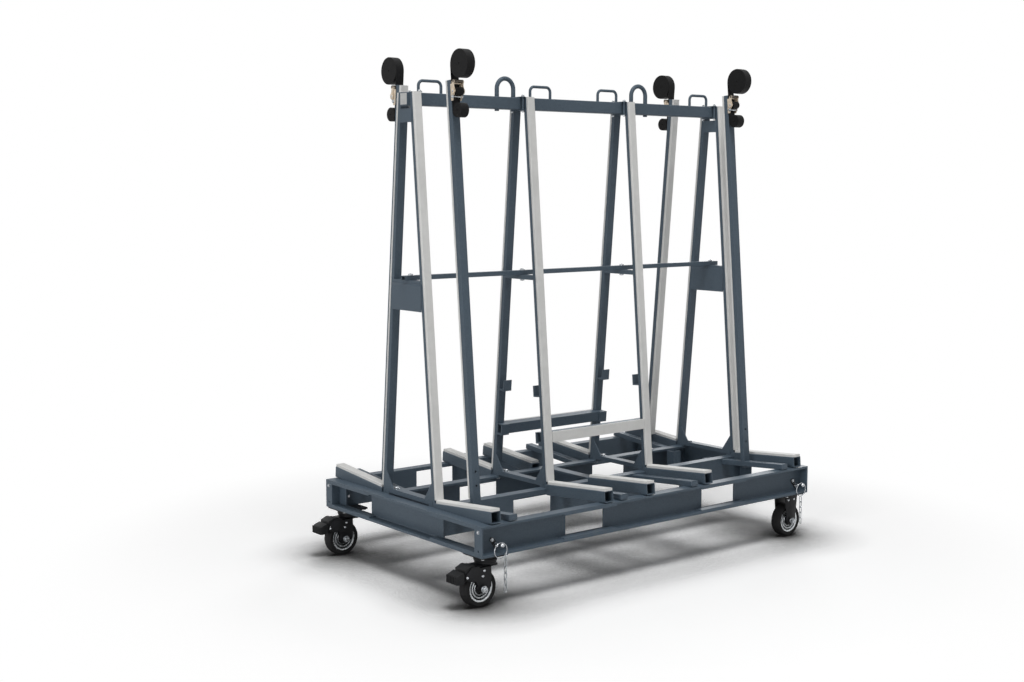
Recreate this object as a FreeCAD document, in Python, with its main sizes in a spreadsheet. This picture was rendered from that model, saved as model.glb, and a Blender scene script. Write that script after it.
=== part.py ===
import FreeCAD, Part
import Sketcher
import math
import os
import re

from FreeCAD import Placement, Rotation, Vector

# Driving dimensions in millimetres and degrees, floor at zero height
SIZES = (
    ("frame_length", 2000),
    ("frame_width", 1200),
    ("ride_height", 217),
    ("channel_height", 130),
    ("channel_flange", 50),
    ("channel_web", 7),
    ("channel_lip", 10),
    ("root_radius", 6),
    ("cap_thick", 6),
    ("cap_hole", 5),
    ("pocket_width", 218),
    ("pocket_centre", 413),
    ("end_pocket_inset", 273),
    ("liner_thick", 7),
    ("liner_overlap", 40),
    ("inner_face", 204),
    ("socket_size", 50),
    ("socket_wall", 4),
    ("socket_inset", 140),
    ("socket_lift", 10),
    ("socket_tall", 110),
    ("lean_angle", 4.9),
    ("a_frame_rise", 1755),
    ("leg_width", 40),
    ("leg_depth", 20),
    ("tube_wall", 2.5),
    ("tube_corner", 2),
    ("foot_thick", 6),
    ("tie_height", 20),
    ("mid_tie_rise", 938),
    ("gusset_tall", 74),
    ("gusset_base", 58),
    ("gusset_thick", 6),
    ("sign_width", 220),
    ("sign_tall", 108),
    ("sign_rise", 828),
    ("sign_thick", 4),
    ("crown_width", 100),
    ("crown_tall", 58),
    ("crown_drop", 10),
    ("pad_thick", 12),
    ("pad_round", 3),
    ("slab_line", 210),
    ("support_size", 50),
    ("support_wall", 3),
    ("support_corner", 4),
    ("support_reach", 384),
    ("support_shift", 58),
    ("support_pad_width", 43),
    ("rail_height", 25),
    ("rail_offset", 90),
    ("rail_reach", 383),
    ("slot_pitch", 16),
    ("slot_width", 8),
    ("slot_length", 28),
    ("slot_first", 57.5),
    ("tongue_thick", 6),
    ("tongue_width", 24),
    ("tongue_drop", 34),
    ("post_gap", 105),
    ("post_depth", 25),
    ("post_rise", 1760),
    ("post_pad_start", 6),
    ("post_hole", 5),
    ("post_hole_rise", 60),
    ("beam_width", 54),
    ("beam_height", 54),
    ("beam_wall", 3),
    ("beam_drop", 56),
    ("beam_overhang", 9),
    ("plug_thick", 4),
    ("saddle_wall", 3.5),
    ("clamp_offset", 28),
    ("clamp_width", 16),
    ("clamp_thick", 4),
    ("clamp_bolt", 5),
    ("clamp_reach", 38),
    ("mid_rail_width", 30),
    ("mid_rail_height", 20),
    ("mid_rail_overhang", 18),
    ("eye_rod", 10),
    ("eye_width", 113),
    ("eye_rise", 92),
    ("eye_offset", 99.67),
    ("eye_stub", 8),
    ("grab_rod", 6.5),
    ("grab_width", 131),
    ("grab_rise", 59),
    ("grab_bend", 22),
    ("grab_inset", 107),
    ("grab_offset", 103.33),
    ("bar_height", 46),
    ("bar_depth", 30),
    ("bar_rise", 175),
    ("bar_gap", 0.5),
    ("hook_width", 46),
    ("hook_thick", 5),
    ("hook_lip", 46),
    ("hook_step", 212),
    ("bar_side_gap", 1.5),
    ("bolt_head", 11),
    ("bolt_head_tall", 7),
    ("small_head", 7),
    ("small_head_tall", 4),
    ("caster_inset", 73),
    ("caster_trail", 40),
    ("plate_size", 140),
    ("plate_thick", 6),
    ("plate_round", 14),
    ("caster_head_room", 57),
    ("tyre_width", 46),
    ("tyre_round", 9),
    ("tyre_thick", 22),
    ("rim_lip", 5),
    ("rim_width", 40),
    ("rim_disc", 12),
    ("rim_step_in", 14),
    ("hub_radius", 19),
    ("hub_width", 58),
    ("axle_radius", 6),
    ("run_gap", 0.05),
    ("part_gap", 0.3),
    ("seat_gap", 0.15),
    ("fork_inside", 31),
    ("fork_wall", 5),
    ("head_radius", 50),
    ("head_tall", 14),
    ("crown_plate", 9),
    ("pedal_pin", 4),
    ("pedal_toe", 93),
    ("pedal_half", 29.5),
    ("pedal_tip_half", 35),
    ("rivet_radius", 6),
    ("rivet_tall", 2.5),
    ("lock_shift", 20),
    ("lock_rise", 45),
    ("lock_radius", 6),
    ("lock_inside", 6),
    ("lock_outside", 52),
    ("lock_ball", 10),
    ("lock_base_length", 66),
    ("lock_base_width", 26),
    ("lock_base_thick", 4),
    ("lock_base_turn", 38),
    ("ring_radius", 32),
    ("ring_rod", 2),
    ("link_length", 34),
    ("link_width", 15),
    ("link_rod", 2),
    ("strap_width", 40),
    ("strap_thick", 1.7),
    ("strap_pitch", 2.25),
    ("strap_stand", 4.5),
    ("roll_radius", 59),
    ("roll_rise", 58),
    ("small_roll_radius", 30),
    ("small_roll_drop", 129),
    ("spool_roll_radius", 17),
    ("spool_drop", 50),
    ("spool_radius", 6),
    ("pivot_radius", 4.5),
    ("ratchet_plate", 3),
    ("ratchet_half", 24),
    ("ratchet_reach", 38),
    ("ratchet_top_drop", 23),
    ("ratchet_tall", 56),
    ("ratchet_waist", 38),
    ("ratchet_waist_out", 30),
    ("anchor_drop", 72),
    ("anchor_out", 14),
    ("anchor_radius", 4),
    ("lower_start_drop", 70),
    ("handle_wall", 3),
    ("handle_gap", 0.6),
    ("handle_grip", 7),
    ("handle_rise", 40.5),
    ("handle_out", 8.5),
    ("handle_half", 10),
    ("sketch_margin", 400),
)

# Dimensions that follow from the ones above
DERIVED = (
    ("deck", "ride_height + channel_height"),
    ("half_length", "frame_length / 2"),
    ("half_width", "frame_width / 2"),
    ("side_inner", "half_width - channel_flange"),
    ("end_inner", "half_length - channel_flange"),
    ("outer_line", "end_inner - support_size / 2"),
    ("inner_line", "outer_line / 3"),
    ("end_pocket_edge", "side_inner - end_pocket_inset"),
    ("socket_centre", "end_inner - socket_inset"),
    ("eye_centre", "inner_line + eye_offset"),
    ("grab_outer", "outer_line - grab_inset"),
    ("grab_inner", "inner_line - grab_offset"),
    ("caster_x", "half_length - caster_inset"),
    ("caster_y", "half_width - caster_inset"),
    ("wheel_radius", "(ride_height - caster_head_room) / 2"),
    ("pedal_reach", "wheel_radius + pedal_toe"),
    ("rim_radius", "wheel_radius - tyre_thick"),
    ("rim_step", "rim_radius - rim_step_in"),
    ("leg_in", "pad_thick + leg_depth"),
    ("support_low", "pad_thick + support_size"),
    ("slab_rise", "(support_low - (side_inner - slab_line) * sin(lean_angle)) / cos(lean_angle)"),
    ("slab_z", "deck + slab_rise"),
    ("edge_out", "(slab_line - inner_face) * cos(lean_angle) + slab_rise * sin(lean_angle)"),
    ("rail_end", "edge_out"),
    ("rail_top", "support_low - rail_height"),
    ("a_frame_top", "deck + a_frame_rise"),
    ("leg_slant", "(a_frame_top - slab_z) / cos(lean_angle)"),
    ("beam_z", "a_frame_top - beam_drop"),
    ("beam_top", "beam_z + beam_height"),
    ("beam_half", "outer_line + leg_width / 2 + beam_overhang"),
    ("tie_z", "deck + foot_thick"),
    ("mid_tie_z", "deck + mid_tie_rise"),
    ("post_face", "post_gap + pad_thick"),
    ("post_back", "post_face + post_depth"),
    ("strap_line", "post_back + strap_stand"),
    ("spool_n", "strap_line + spool_roll_radius"),
    ("spool_t", "post_rise - spool_drop"),
    ("origin_shift", "(pedal_reach - wheel_radius) / 2"),
    ("fork_outside", "fork_inside + fork_wall"),
    ("head_z", "ride_height - plate_thick - part_gap - head_tall"),
    ("lock_z", "ride_height + lock_rise"),
)

doc = FreeCAD.newDocument("slab_trolley")
sheet = doc.addObject("Spreadsheet::Sheet", "Dimensions")
for row, (alias, value) in enumerate(SIZES, start=1):
    sheet.set("A%d" % row, alias)
    sheet.set("B%d" % row, str(value))
    sheet.setAlias("B%d" % row, alias)
for row, (alias, formula) in enumerate(DERIVED, start=1):
    sheet.set("D%d" % row, alias)
    sheet.set("E%d" % row, "=" + formula)
    sheet.setAlias("E%d" % row, alias)
doc.recompute()

NAMES = {alias for alias, value in SIZES} | {alias for alias, value in DERIVED}


def val(alias):
    """Number held by one cell of the sheet."""
    return float(sheet.get(alias))


def bind(text):
    """Expression with each dimension name pointing at its cell."""
    return re.sub(r"[a-z_]+", lambda m: "Dimensions." + m.group(0) if m.group(0) in NAMES else m.group(0),
                  str(text))


def put(obj, x="0", y="0", z="0", turn=None):
    """Places an object, with its position bound to the sheet."""
    if turn is not None:
        obj.Placement = Placement(Vector(), turn)
    for axis, text in (("x", x), ("y", y), ("z", z)):
        obj.setExpression("Placement.Base." + axis, bind(text))
    return obj


def add(kind, sizes, x="0", y="0", z="0", turn=None):
    """Primitive of a kind whose sizes are bound to the sheet."""
    obj = doc.addObject(kind, "piece")
    for name, text in sizes.items():
        obj.setExpression(name, bind(text))
    return put(obj, x, y, z, turn)


ALONG = {
    "x": Rotation(Vector(0, 1, 0), 90),
    "y": Rotation(Vector(1, 0, 0), -90),
    "z": Rotation(),
}
TO_YZ = Rotation(Vector(1, 1, 1), 120)
TO_XZ = Rotation(Vector(1, 0, 0), 90)
LEAN = Rotation(Vector(-1, 0, 0), val("lean_angle"))


def box(sx, sy, sz, x="0", y="0", z="0"):
    return add("Part::Box", {"Length": sx, "Width": sy, "Height": sz}, x, y, z)


def rod(radius, length, x="0", y="0", z="0", axis="z"):
    return add("Part::Cylinder", {"Radius": radius, "Height": length}, x, y, z, ALONG[axis])


def hexagon(radius, length, x="0", y="0", z="0", axis="z"):
    obj = add("Part::Prism", {"Circumradius": radius, "Height": length}, x, y, z, ALONG[axis])
    obj.Polygon = 6
    return obj


def bend(mean, tube, sweep, x="0", y="0", z="0", turn=None):
    obj = add("Part::Torus", {"Radius1": mean, "Radius2": tube}, x, y, z, turn)
    obj.Angle3 = sweep
    return obj


def many(pieces):
    obj = doc.addObject("Part::Compound", "set")
    obj.Links = pieces
    return obj


def cut(base, *tools):
    obj = doc.addObject("Part::Cut", "cut")
    obj.Base = base
    obj.Tool = tools[0] if len(tools) == 1 else many(list(tools))
    obj.Refine = True
    return obj


def fuse(*pieces):
    obj = doc.addObject("Part::MultiFuse", "fuse")
    obj.Shapes = list(pieces)
    obj.Refine = True
    return obj


def common(base, tool):
    obj = doc.addObject("Part::Common", "common")
    obj.Base = base
    obj.Tool = tool
    return obj


def flip(piece, axis):
    """Mirror image across the middle of the object."""
    obj = doc.addObject("Part::Mirroring", "mirror")
    obj.Source = piece
    obj.Normal = Vector(1, 0, 0) if axis == "x" else Vector(0, 1, 0)
    return obj


def copy(piece, x="0", y="0", z="0", turn=None):
    return put(many([piece]), x, y, z, turn)


def lean(piece, x="0"):
    """Piece drawn in the slab's own frame, laid against the front lean."""
    obj = copy(piece, x, "-slab_line", "slab_z", LEAN)
    obj.setExpression("Placement.Rotation.Angle", bind("lean_angle"))
    return obj


def soften(base, alias, pick):
    """Rounds the edges that pick accepts, by a radius from the sheet."""
    doc.recompute()
    obj = doc.addObject("Part::Fillet", "rounded")
    obj.Base = base
    radius = val(alias)
    obj.Edges = [(i, radius, radius) for i, e in enumerate(base.Shape.Edges, start=1) if pick(e)]
    return obj


def runs(axis):
    """Test for straight edges that run along one axis."""
    def test(edge):
        if edge.Curve.TypeId != "Part::GeomLine":
            return False
        return abs(getattr(edge.tangentAt(edge.FirstParameter), axis)) > math.cos(math.radians(1))
    return test


def slab(width, n_low, n_high, t_low, t_high, x="0"):
    """Block in the slab's frame: outward from n_low to n_high, up from t_low to t_high."""
    return box(width, "(%s) - (%s)" % (n_high, n_low), "(%s) - (%s)" % (t_high, t_low),
               "(%s) - (%s) / 2" % (x, width), "-(%s)" % n_high, t_low)


corner_rows = [0]


def profile(corners, thick):
    """Padded plate whose corners and thickness are bound to the sheet."""
    spots = []
    for across, up in corners:
        corner_rows[0] += 1
        pair = ("G%d" % corner_rows[0], "H%d" % corner_rows[0])
        sheet.set(pair[0], "=sketch_margin + (%s)" % across)
        sheet.set(pair[1], "=sketch_margin + (%s)" % up)
        spots.append(pair)
    body = doc.addObject("PartDesign::Body", "plate")
    sketch = body.newObject("Sketcher::SketchObject", "outline")
    origin = [f for f in body.Origin.OriginFeatures if f.Role == "XY_Plane"][0]
    sketch.AttachmentSupport = [(origin, "")]
    sketch.MapMode = "FlatFace"
    doc.recompute()
    ends = [Vector(float(sheet.get(a)), float(sheet.get(b)), 0) for a, b in spots]
    for i, end in enumerate(ends):
        sketch.addGeometry(Part.LineSegment(end, ends[(i + 1) % len(ends)]), False)
    for i in range(len(ends)):
        sketch.addConstraint(Sketcher.Constraint("Coincident", i, 2, (i + 1) % len(ends), 1))
    for i, end in enumerate(ends):
        for kind, size, name in (("DistanceX", end.x, spots[i][0]), ("DistanceY", end.y, spots[i][1])):
            k = sketch.addConstraint(Sketcher.Constraint(kind, -1, 1, i, 1, size))
            sketch.setExpression("Constraints[%d]" % k, "Dimensions." + name)
    pad = body.newObject("PartDesign::Pad", "pad")
    pad.Profile = sketch
    pad.setExpression("Length", bind(thick))
    body.Tip = pad
    return body


def upright(corners, thick, x="0", y="0"):
    """Plate in the plane across the object, corners as (sideways, height)."""
    return copy(profile(corners, thick), x, "(%s) - sketch_margin" % y, "-sketch_margin", TO_YZ)


def standing(corners, thick, x="0", y="0"):
    """Plate in the plane along the object, corners as (along, height), thickness towards the front."""
    return copy(profile(corners, thick), "(%s) - sketch_margin" % x, y, "-sketch_margin", TO_XZ)


def leg_inside(height):
    """Half distance between the inner faces of a pair of legs at a height."""
    return ("(slab_line - ((%s) - slab_z) * tan(lean_angle) - leg_in / cos(lean_angle))" % height)


def both(pieces, axis="y"):
    """Pieces with their mirror images."""
    return pieces + [flip(p, axis) for p in pieces]


nodes = []


def node(label, pieces):
    """Named sub-part, moved so that the origin is under the middle of the whole object."""
    obj = put(many(pieces), "origin_shift")
    obj.Label = label
    nodes.append(obj)
    return obj


def bolt_top(x, y, z):
    return hexagon("bolt_head", "bolt_head_tall", x, y, z)


# Side channels with lined fork openings and corner caps
def lock_hole():
    spots = []
    for side in ("-caster_x + lock_shift", "caster_x + lock_shift"):
        spots.append(rod("lock_radius + part_gap", "channel_web * 3", side, "-side_inner - channel_web * 2",
                         "lock_z", "y"))
    return spots


channel = cut(
    box("frame_length - cap_thick * 2", "channel_flange", "channel_height",
        "cap_thick - half_length", "-half_width", "ride_height"),
    soften(box("frame_length", "channel_flange", "channel_height - channel_lip * 2",
               "-half_length", "-half_width - channel_web", "ride_height + channel_lip"),
           "root_radius", runs("x")))
gap_low = "channel_lip + liner_thick"
gap_tall = "channel_height - (channel_lip + liner_thick) * 2"
windows = []
for side in ("-pocket_centre", "pocket_centre"):
    windows.append(box("pocket_width", "channel_web * 3", gap_tall, side + " - pocket_width / 2",
                       "-side_inner - channel_web * 2", "ride_height + " + gap_low))
side_parts = [cut(channel, *(windows + lock_hole()))]
for side in ("-pocket_centre", "pocket_centre"):
    for level in ("channel_lip", "channel_height - channel_lip - liner_thick"):
        side_parts.append(box("pocket_width + liner_overlap * 2",
                              "channel_flange - channel_web - root_radius",
                              "liner_thick", side + " - pocket_width / 2 - liner_overlap", "-half_width",
                              "ride_height + " + level))
cap = cut(box("cap_thick", "channel_flange", "channel_height", "-half_length", "-half_width", "ride_height"),
          rod("cap_hole", "cap_thick * 3", "-half_length - cap_thick", "-half_width + channel_flange / 2",
              "ride_height + channel_height / 5", "x"))
side_parts += [cap, flip(cap, "x")]
node("side_channel_front", side_parts)
node("side_channel_rear", [flip(p, "y") for p in side_parts])

# End channels between the side channels
end_channel = cut(
    box("channel_flange", "side_inner * 2", "channel_height", "-half_length", "-side_inner", "ride_height"),
    soften(box("channel_flange", "frame_width", "channel_height - channel_lip * 2",
               "-half_length - channel_web", "-half_width", "ride_height + channel_lip"),
           "root_radius", runs("y")))
end_windows = []
for spot in ("end_pocket_edge", "-end_pocket_edge - pocket_width"):
    end_windows.append(box("channel_web * 3", "pocket_width", gap_tall, "-end_inner - channel_web * 2", spot,
                           "ride_height + " + gap_low))
end_parts = [cut(end_channel, *end_windows)]
for spot in ("end_pocket_edge - liner_overlap", "-side_inner"):
    for level in ("channel_lip", "channel_height - channel_lip - liner_thick"):
        end_parts.append(box("channel_flange - channel_web - root_radius",
                             "side_inner - end_pocket_edge + liner_overlap", "liner_thick", "-half_length",
                             spot,
                             "ride_height + " + level))
node("end_channels", both(end_parts, "x"))

# Inner channels under the legs
inner = cut(
    box("end_inner * 2", "channel_flange", "channel_height", "-end_inner", "-inner_face", "ride_height"),
    soften(box("frame_length", "channel_flange", "channel_height - channel_lip * 2",
               "-half_length", "-inner_face + channel_web", "ride_height + channel_lip"),
           "root_radius", runs("x")))
inner_windows = []
for side in ("-pocket_centre", "pocket_centre"):
    inner_windows.append(box("pocket_width", "channel_web * 3", gap_tall, side + " - pocket_width / 2",
                             "-inner_face - channel_web", "ride_height + " + gap_low))
node("inner_channels", both([cut(inner, *inner_windows)]))

# Cross channel in the middle and the two square sockets
cross_half = "inner_face - channel_flange"
cross = cut(
    box("channel_flange", "(%s) * 2" % cross_half, "channel_height", "-channel_flange / 2",
        "-(%s)" % cross_half,
        "ride_height"),
    box("channel_flange", "frame_width", "channel_height - channel_lip * 2",
        "-channel_flange / 2 - channel_web", "-half_width", "ride_height + channel_lip"))
socket = cut(
    box("socket_size", "socket_size", "socket_tall", "socket_centre - socket_size / 2", "-(%s)" % cross_half,
        "ride_height + socket_lift"),
    box("socket_size - socket_wall * 2", "socket_size - socket_wall * 2", "socket_tall * 2",
        "socket_centre - socket_size / 2 + socket_wall", "-(%s) + socket_wall" % cross_half, "ride_height"))
node("centre_ties", [cross] + both([socket]))

# Sloping slab supports and their pads
support = cut(
    soften(slab("support_size", "-edge_out", "support_reach", "-support_low", "-pad_thick"),
           "support_corner", runs("y")),
    slab("support_size - support_wall * 2", "-edge_out * 2", "support_reach * 2",
         "-support_low + support_wall", "-pad_thick - support_wall"))
support_pad = soften(slab("support_pad_width", "0", "support_reach", "-pad_thick", "0"), "pad_round",
                     lambda e: runs("y")(e) and e.CenterOfMass.z > -val("pad_round"))
lines = ("-outer_line", "-inner_line", "-support_shift", "inner_line", "outer_line")
node("support_tubes", both([lean(support, x) for x in lines]))

# Sloping post rails with rows of slots
slots = [slab("slot_length", "slot_first + slot_pitch * %d - slot_width / 2" % k,
              "slot_first + slot_pitch * %d + slot_width / 2" % k, "-support_low * 2", "0")
         for k in range(14)]
rail = cut(
    soften(slab("leg_width", "-rail_end", "rail_reach", "-support_low", "-rail_top"), "tube_corner",
           runs("y")),
    slab("leg_width - tube_wall * 2", "-rail_end * 2", "rail_reach * 2", "-support_low + tube_wall",
         "-rail_top - tube_wall"),
    *slots)
rail_lines = ("-outer_line + rail_offset", "-inner_line + rail_offset", "inner_line - rail_offset",
              "outer_line - rail_offset")
node("post_rails", both([lean(rail, x) for x in rail_lines]))

# A-frames: legs, ties, feet, gussets, saddles, plates and hooks
leg = cut(
    soften(slab("leg_width", "-leg_in", "-pad_thick", "-support_low * 2", "leg_slant + support_low"),
           "tube_corner", runs("z")),
    slab("leg_width - tube_wall * 2", "-leg_in + tube_wall", "-pad_thick - tube_wall", "-support_low * 3",
         "leg_slant * 2"))
leg_clip = box("leg_width * 2", "half_width", "a_frame_top - tie_z", "-leg_width", "-half_width", "tie_z")
front_leg = common(lean(leg), leg_clip)
foot = box("leg_width", "channel_flange", "foot_thick", "-leg_width / 2", "-inner_face", "deck")


def tie(z):
    half = leg_inside("%s + tie_height" % z)
    return cut(
        box("leg_width", "%s * 2" % half, "tie_height", "-leg_width / 2", "-" + half, z),
        box("leg_width - tube_wall * 2", "%s * 3" % half, "tie_height - tube_wall * 2",
            "-leg_width / 2 + tube_wall", "-%s * 3 / 2" % half, "(%s) + tube_wall" % z))


tie_top = "tie_z + tie_height"
gusset = upright(
    [("-" + leg_inside(tie_top), tie_top),
     ("-%s + gusset_base" % leg_inside(tie_top), tie_top),
     ("-" + leg_inside(tie_top + " + gusset_tall"), tie_top + " + gusset_tall")],
    "gusset_thick", "-leg_width / 2")
saddle_half = "beam_width / 2 + saddle_wall"
saddle = cut(
    box("leg_width", "(%s) * 2" % saddle_half, "beam_drop + saddle_wall", "-leg_width / 2",
        "-(%s)" % saddle_half,
        "beam_z - saddle_wall"),
    box("leg_width * 2", "beam_width", "beam_drop * 2", "-leg_width", "-beam_width / 2", "beam_z"))
frame_parts = both([front_leg, foot, gusset]) + [tie("tie_z"), tie("mid_tie_z"), saddle]
sign = box("sign_thick", "sign_width", "sign_tall", "-leg_width / 2 - sign_thick", "-sign_width / 2",
           "deck + sign_rise")
crown = box("sign_thick", "crown_width", "crown_tall", "-leg_width / 2 - sign_thick", "-crown_width / 2",
            "beam_z - saddle_wall - crown_tall - crown_drop")


def hook(low):
    depth = "leg_in + bar_gap * 2 + bar_depth"
    shelf = slab("hook_width", "-(%s) - hook_thick" % depth, "-leg_in", "%s - hook_thick" % low, low)
    lip = slab("hook_width", "-(%s) - hook_thick" % depth, "-(%s)" % depth, "%s - hook_thick" % low,
               "%s + hook_lip" % low)
    return lean(fuse(shelf, lip))


hooks = both([hook("bar_rise"), hook("(bar_rise + hook_step)")])
for number, spot, extra in ((1, "-outer_line", [sign, crown]), (2, "-inner_line", hooks),
                            (3, "inner_line", hooks), (4, "outer_line", [sign, crown])):
    node("a_frame_%d" % number, [copy(p, spot) for p in frame_parts + extra])

# Light pads on the legs and supports
leg_pad = soften(slab("leg_width", "-pad_thick", "0", "0", "leg_slant"), "pad_round",
                 lambda e: runs("z")(e) and e.CenterOfMass.y < val("pad_round"))
frame_lines = ("-outer_line", "-inner_line", "inner_line", "outer_line")
node("slab_pads", both([lean(support_pad, x) for x in lines] + [lean(leg_pad, x) for x in frame_lines]))

# Top beam with plugs, eyes and handles
eye_mean = "eye_width / 2 - eye_rod"
eye_holes = []
for centre in ("-eye_centre", "eye_centre"):
    for sign_of in ("-", "+"):
        eye_holes.append(rod("eye_rod + seat_gap", "beam_height * 2",
                             "%s %s (%s)" % (centre, sign_of, eye_mean), "0",
                             "beam_z - beam_height / 2"))
beam = cut(
    soften(box("beam_half * 2", "beam_width", "beam_height", "-beam_half", "-beam_width / 2", "beam_z"),
           "support_corner", runs("x")),
    box("frame_length * 2", "beam_width - beam_wall * 2", "beam_height - beam_wall * 2", "-frame_length",
        "-beam_width / 2 + beam_wall", "beam_z + beam_wall"),
    *eye_holes)
node("top_beam", [beam])
plug = box("plug_thick", "beam_width - beam_wall * 2", "beam_height - beam_wall * 2", "-beam_half",
           "-beam_width / 2 + beam_wall", "beam_z + beam_wall")
node("beam_plugs", both([plug], "x"))
eye_leg = "eye_rise - eye_width / 2 + beam_height + eye_stub"
eye = fuse(
    bend(eye_mean, "eye_rod", 180, "0", "0", "beam_top + eye_rise - eye_width / 2", TO_XZ),
    rod("eye_rod", eye_leg, "-(%s)" % eye_mean, "0", "beam_z - eye_stub"),
    rod("eye_rod", eye_leg, eye_mean, "0", "beam_z - eye_stub"))
node("lifting_eyes", [copy(eye, "-eye_centre"), copy(eye, "eye_centre")])
grab_half = "grab_width / 2 - grab_rod"
grab_side = "grab_rise - grab_rod - grab_bend"
grab = fuse(
    rod("grab_rod", "(%s - grab_bend) * 2" % grab_half, "-(%s - grab_bend)" % grab_half, "0",
        "beam_top + grab_rise - grab_rod", "x"),
    rod("grab_rod", grab_side, "-(%s)" % grab_half, "0", "beam_top"),
    rod("grab_rod", grab_side, grab_half, "0", "beam_top"),
    bend("grab_bend", "grab_rod", 90, "%s - grab_bend" % grab_half, "0", "beam_top + " + grab_side, TO_XZ),
    flip(bend("grab_bend", "grab_rod", 90, "%s - grab_bend" % grab_half, "0", "beam_top + " + grab_side,
              TO_XZ), "x"))
grab_lines = ("-grab_outer", "-grab_inner", "grab_inner", "grab_outer")
node("grab_handles", [copy(grab, x) for x in grab_lines])

# Middle rail on the ties
rail_half = "outer_line + leg_width / 2 + mid_rail_overhang"
mid_rail_z = "mid_tie_z + tie_height"
node("mid_rail", [cut(
    box("(%s) * 2" % rail_half, "mid_rail_width", "mid_rail_height", "-(%s)" % rail_half,
        "-mid_rail_width / 2",
        mid_rail_z),
    box("frame_length * 2", "mid_rail_width - tube_wall * 2", "mid_rail_height - tube_wall * 2",
        "-frame_length",
        "-mid_rail_width / 2 + tube_wall", mid_rail_z + " + tube_wall"))])

# Bolts, nuts and clamp plates
bolts = []
for spot in frame_lines:
    bolts.append(bolt_top(spot, "0", mid_rail_z + " + mid_rail_height"))
    bolts.append(bolt_top(spot, "0", "mid_tie_z - bolt_head_tall"))
    for way in ("-", ""):
        seat = way + "(inner_face - channel_flange / 2 - gusset_base)"
        bolts.append(bolt_top(spot, seat, tie_top))
        under = way + "(inner_face - channel_flange / 2)"
        bolts.append(bolt_top(spot, under, "deck - channel_lip - bolt_head_tall"))
for spot in ("-outer_line + clamp_offset", "-inner_line - clamp_offset", "inner_line - clamp_offset",
             "outer_line - clamp_offset"):
    for level in ("beam_top", "beam_z - clamp_thick"):
        bolts.append(box("clamp_width", "(clamp_reach + clamp_width / 2) * 2", "clamp_thick",
                         spot + " - clamp_width / 2", "-clamp_reach - clamp_width / 2", level))
    for way in ("-", ""):
        bolts.append(rod("clamp_bolt", "beam_height", spot, way + "clamp_reach", "beam_z"))
        for level in ("beam_top + clamp_thick", "beam_z - clamp_thick - bolt_head_tall"):
            bolts.append(hexagon("small_head", "bolt_head_tall", spot, way + "clamp_reach", level))
for way in ("-", ""):
    head = hexagon("small_head", "small_head_tall", "half_length", way + "(half_width - channel_flange / 2)",
                   "deck - channel_height / 5", "x")
    bolts += both([head], "x")
node("frame_bolts", bolts)

# Caster top plates and the base plates of the pull pins
top_plate = soften(box("plate_size", "plate_size", "plate_thick", "-plate_size / 2", "-plate_size / 2",
                       "ride_height - plate_thick"), "plate_round", runs("z"))
corners = [("-caster_x", "-caster_y"), ("caster_x", "-caster_y")]
base_slim = "lock_base_length - lock_base_width"
pin_base = cut(
    fuse(box(base_slim, "lock_base_thick", "lock_base_width", "-(%s) / 2" % base_slim, "0",
             "-lock_base_width / 2"),
         rod("lock_base_width / 2", "lock_base_thick", "-(%s) / 2" % base_slim, "0", "0", "y"),
         rod("lock_base_width / 2", "lock_base_thick", "(%s) / 2" % base_slim, "0", "0", "y")),
    rod("lock_radius + part_gap", "lock_base_thick * 3", "0", "-lock_base_thick", "0", "y"))
base_heads = [hexagon("small_head", "small_head_tall", "%s(%s) / 2" % (way, base_slim), "-small_head_tall",
                      "0", "y")
              for way in ("-", "")]
TURN = Rotation(Vector(0, 1, 0), val("lock_base_turn"))
plates = []
for cx, cy in corners:
    plates.append(copy(top_plate, cx, cy))
    seat = copy(many([pin_base] + base_heads), cx + " + lock_shift",
                "-side_inner - channel_web - lock_base_thick",
                "lock_z", TURN)
    seat.setExpression("Placement.Rotation.Angle", bind("lock_base_turn"))
    plates.append(seat)
node("caster_plates", both(plates))

# Rigid casters
def axle(x):
    span = "fork_outside * 2"
    return [rod("axle_radius", span, x, "-fork_outside", "wheel_radius", "y"),
            hexagon("bolt_head", "bolt_head_tall", x, "-fork_outside - bolt_head_tall", "wheel_radius", "y"),
            hexagon("bolt_head", "bolt_head_tall", x, "fork_outside", "wheel_radius", "y")]


rigid_shares = ((0.55, None), (0.46, 1.72), (0.375, 1.16), (0.28, 0.8), (0, 0.7),
                (-0.28, 0.8), (-0.375, 1.16), (-0.46, 1.72), (-0.55, None))
rigid_top = "ride_height - plate_thick - crown_plate"


def outline(shares, top):
    return [("wheel_radius * %g" % a, top if b is None else "wheel_radius * %g" % b) for a, b in shares]


def fork(shares, top, axle_x, crown):
    side = standing(outline(shares, top), "fork_wall", "0", "-fork_inside")
    pierced = cut(side, rod("axle_radius", "fork_wall * 3", axle_x, "-fork_outside - fork_wall",
                            "wheel_radius", "y"))
    return fuse(pierced, flip(pierced, "y"), crown)


rigid = fork(rigid_shares, rigid_top, "0",
             box("wheel_radius * 1.1", "fork_outside * 2", "crown_plate", "-wheel_radius * 0.55",
                 "-fork_outside",
                 rigid_top))
rigid_parts = [copy(p, "caster_x", "-caster_y") for p in [rigid] + axle("0")]
node("rigid_forks", both(rigid_parts))

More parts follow.
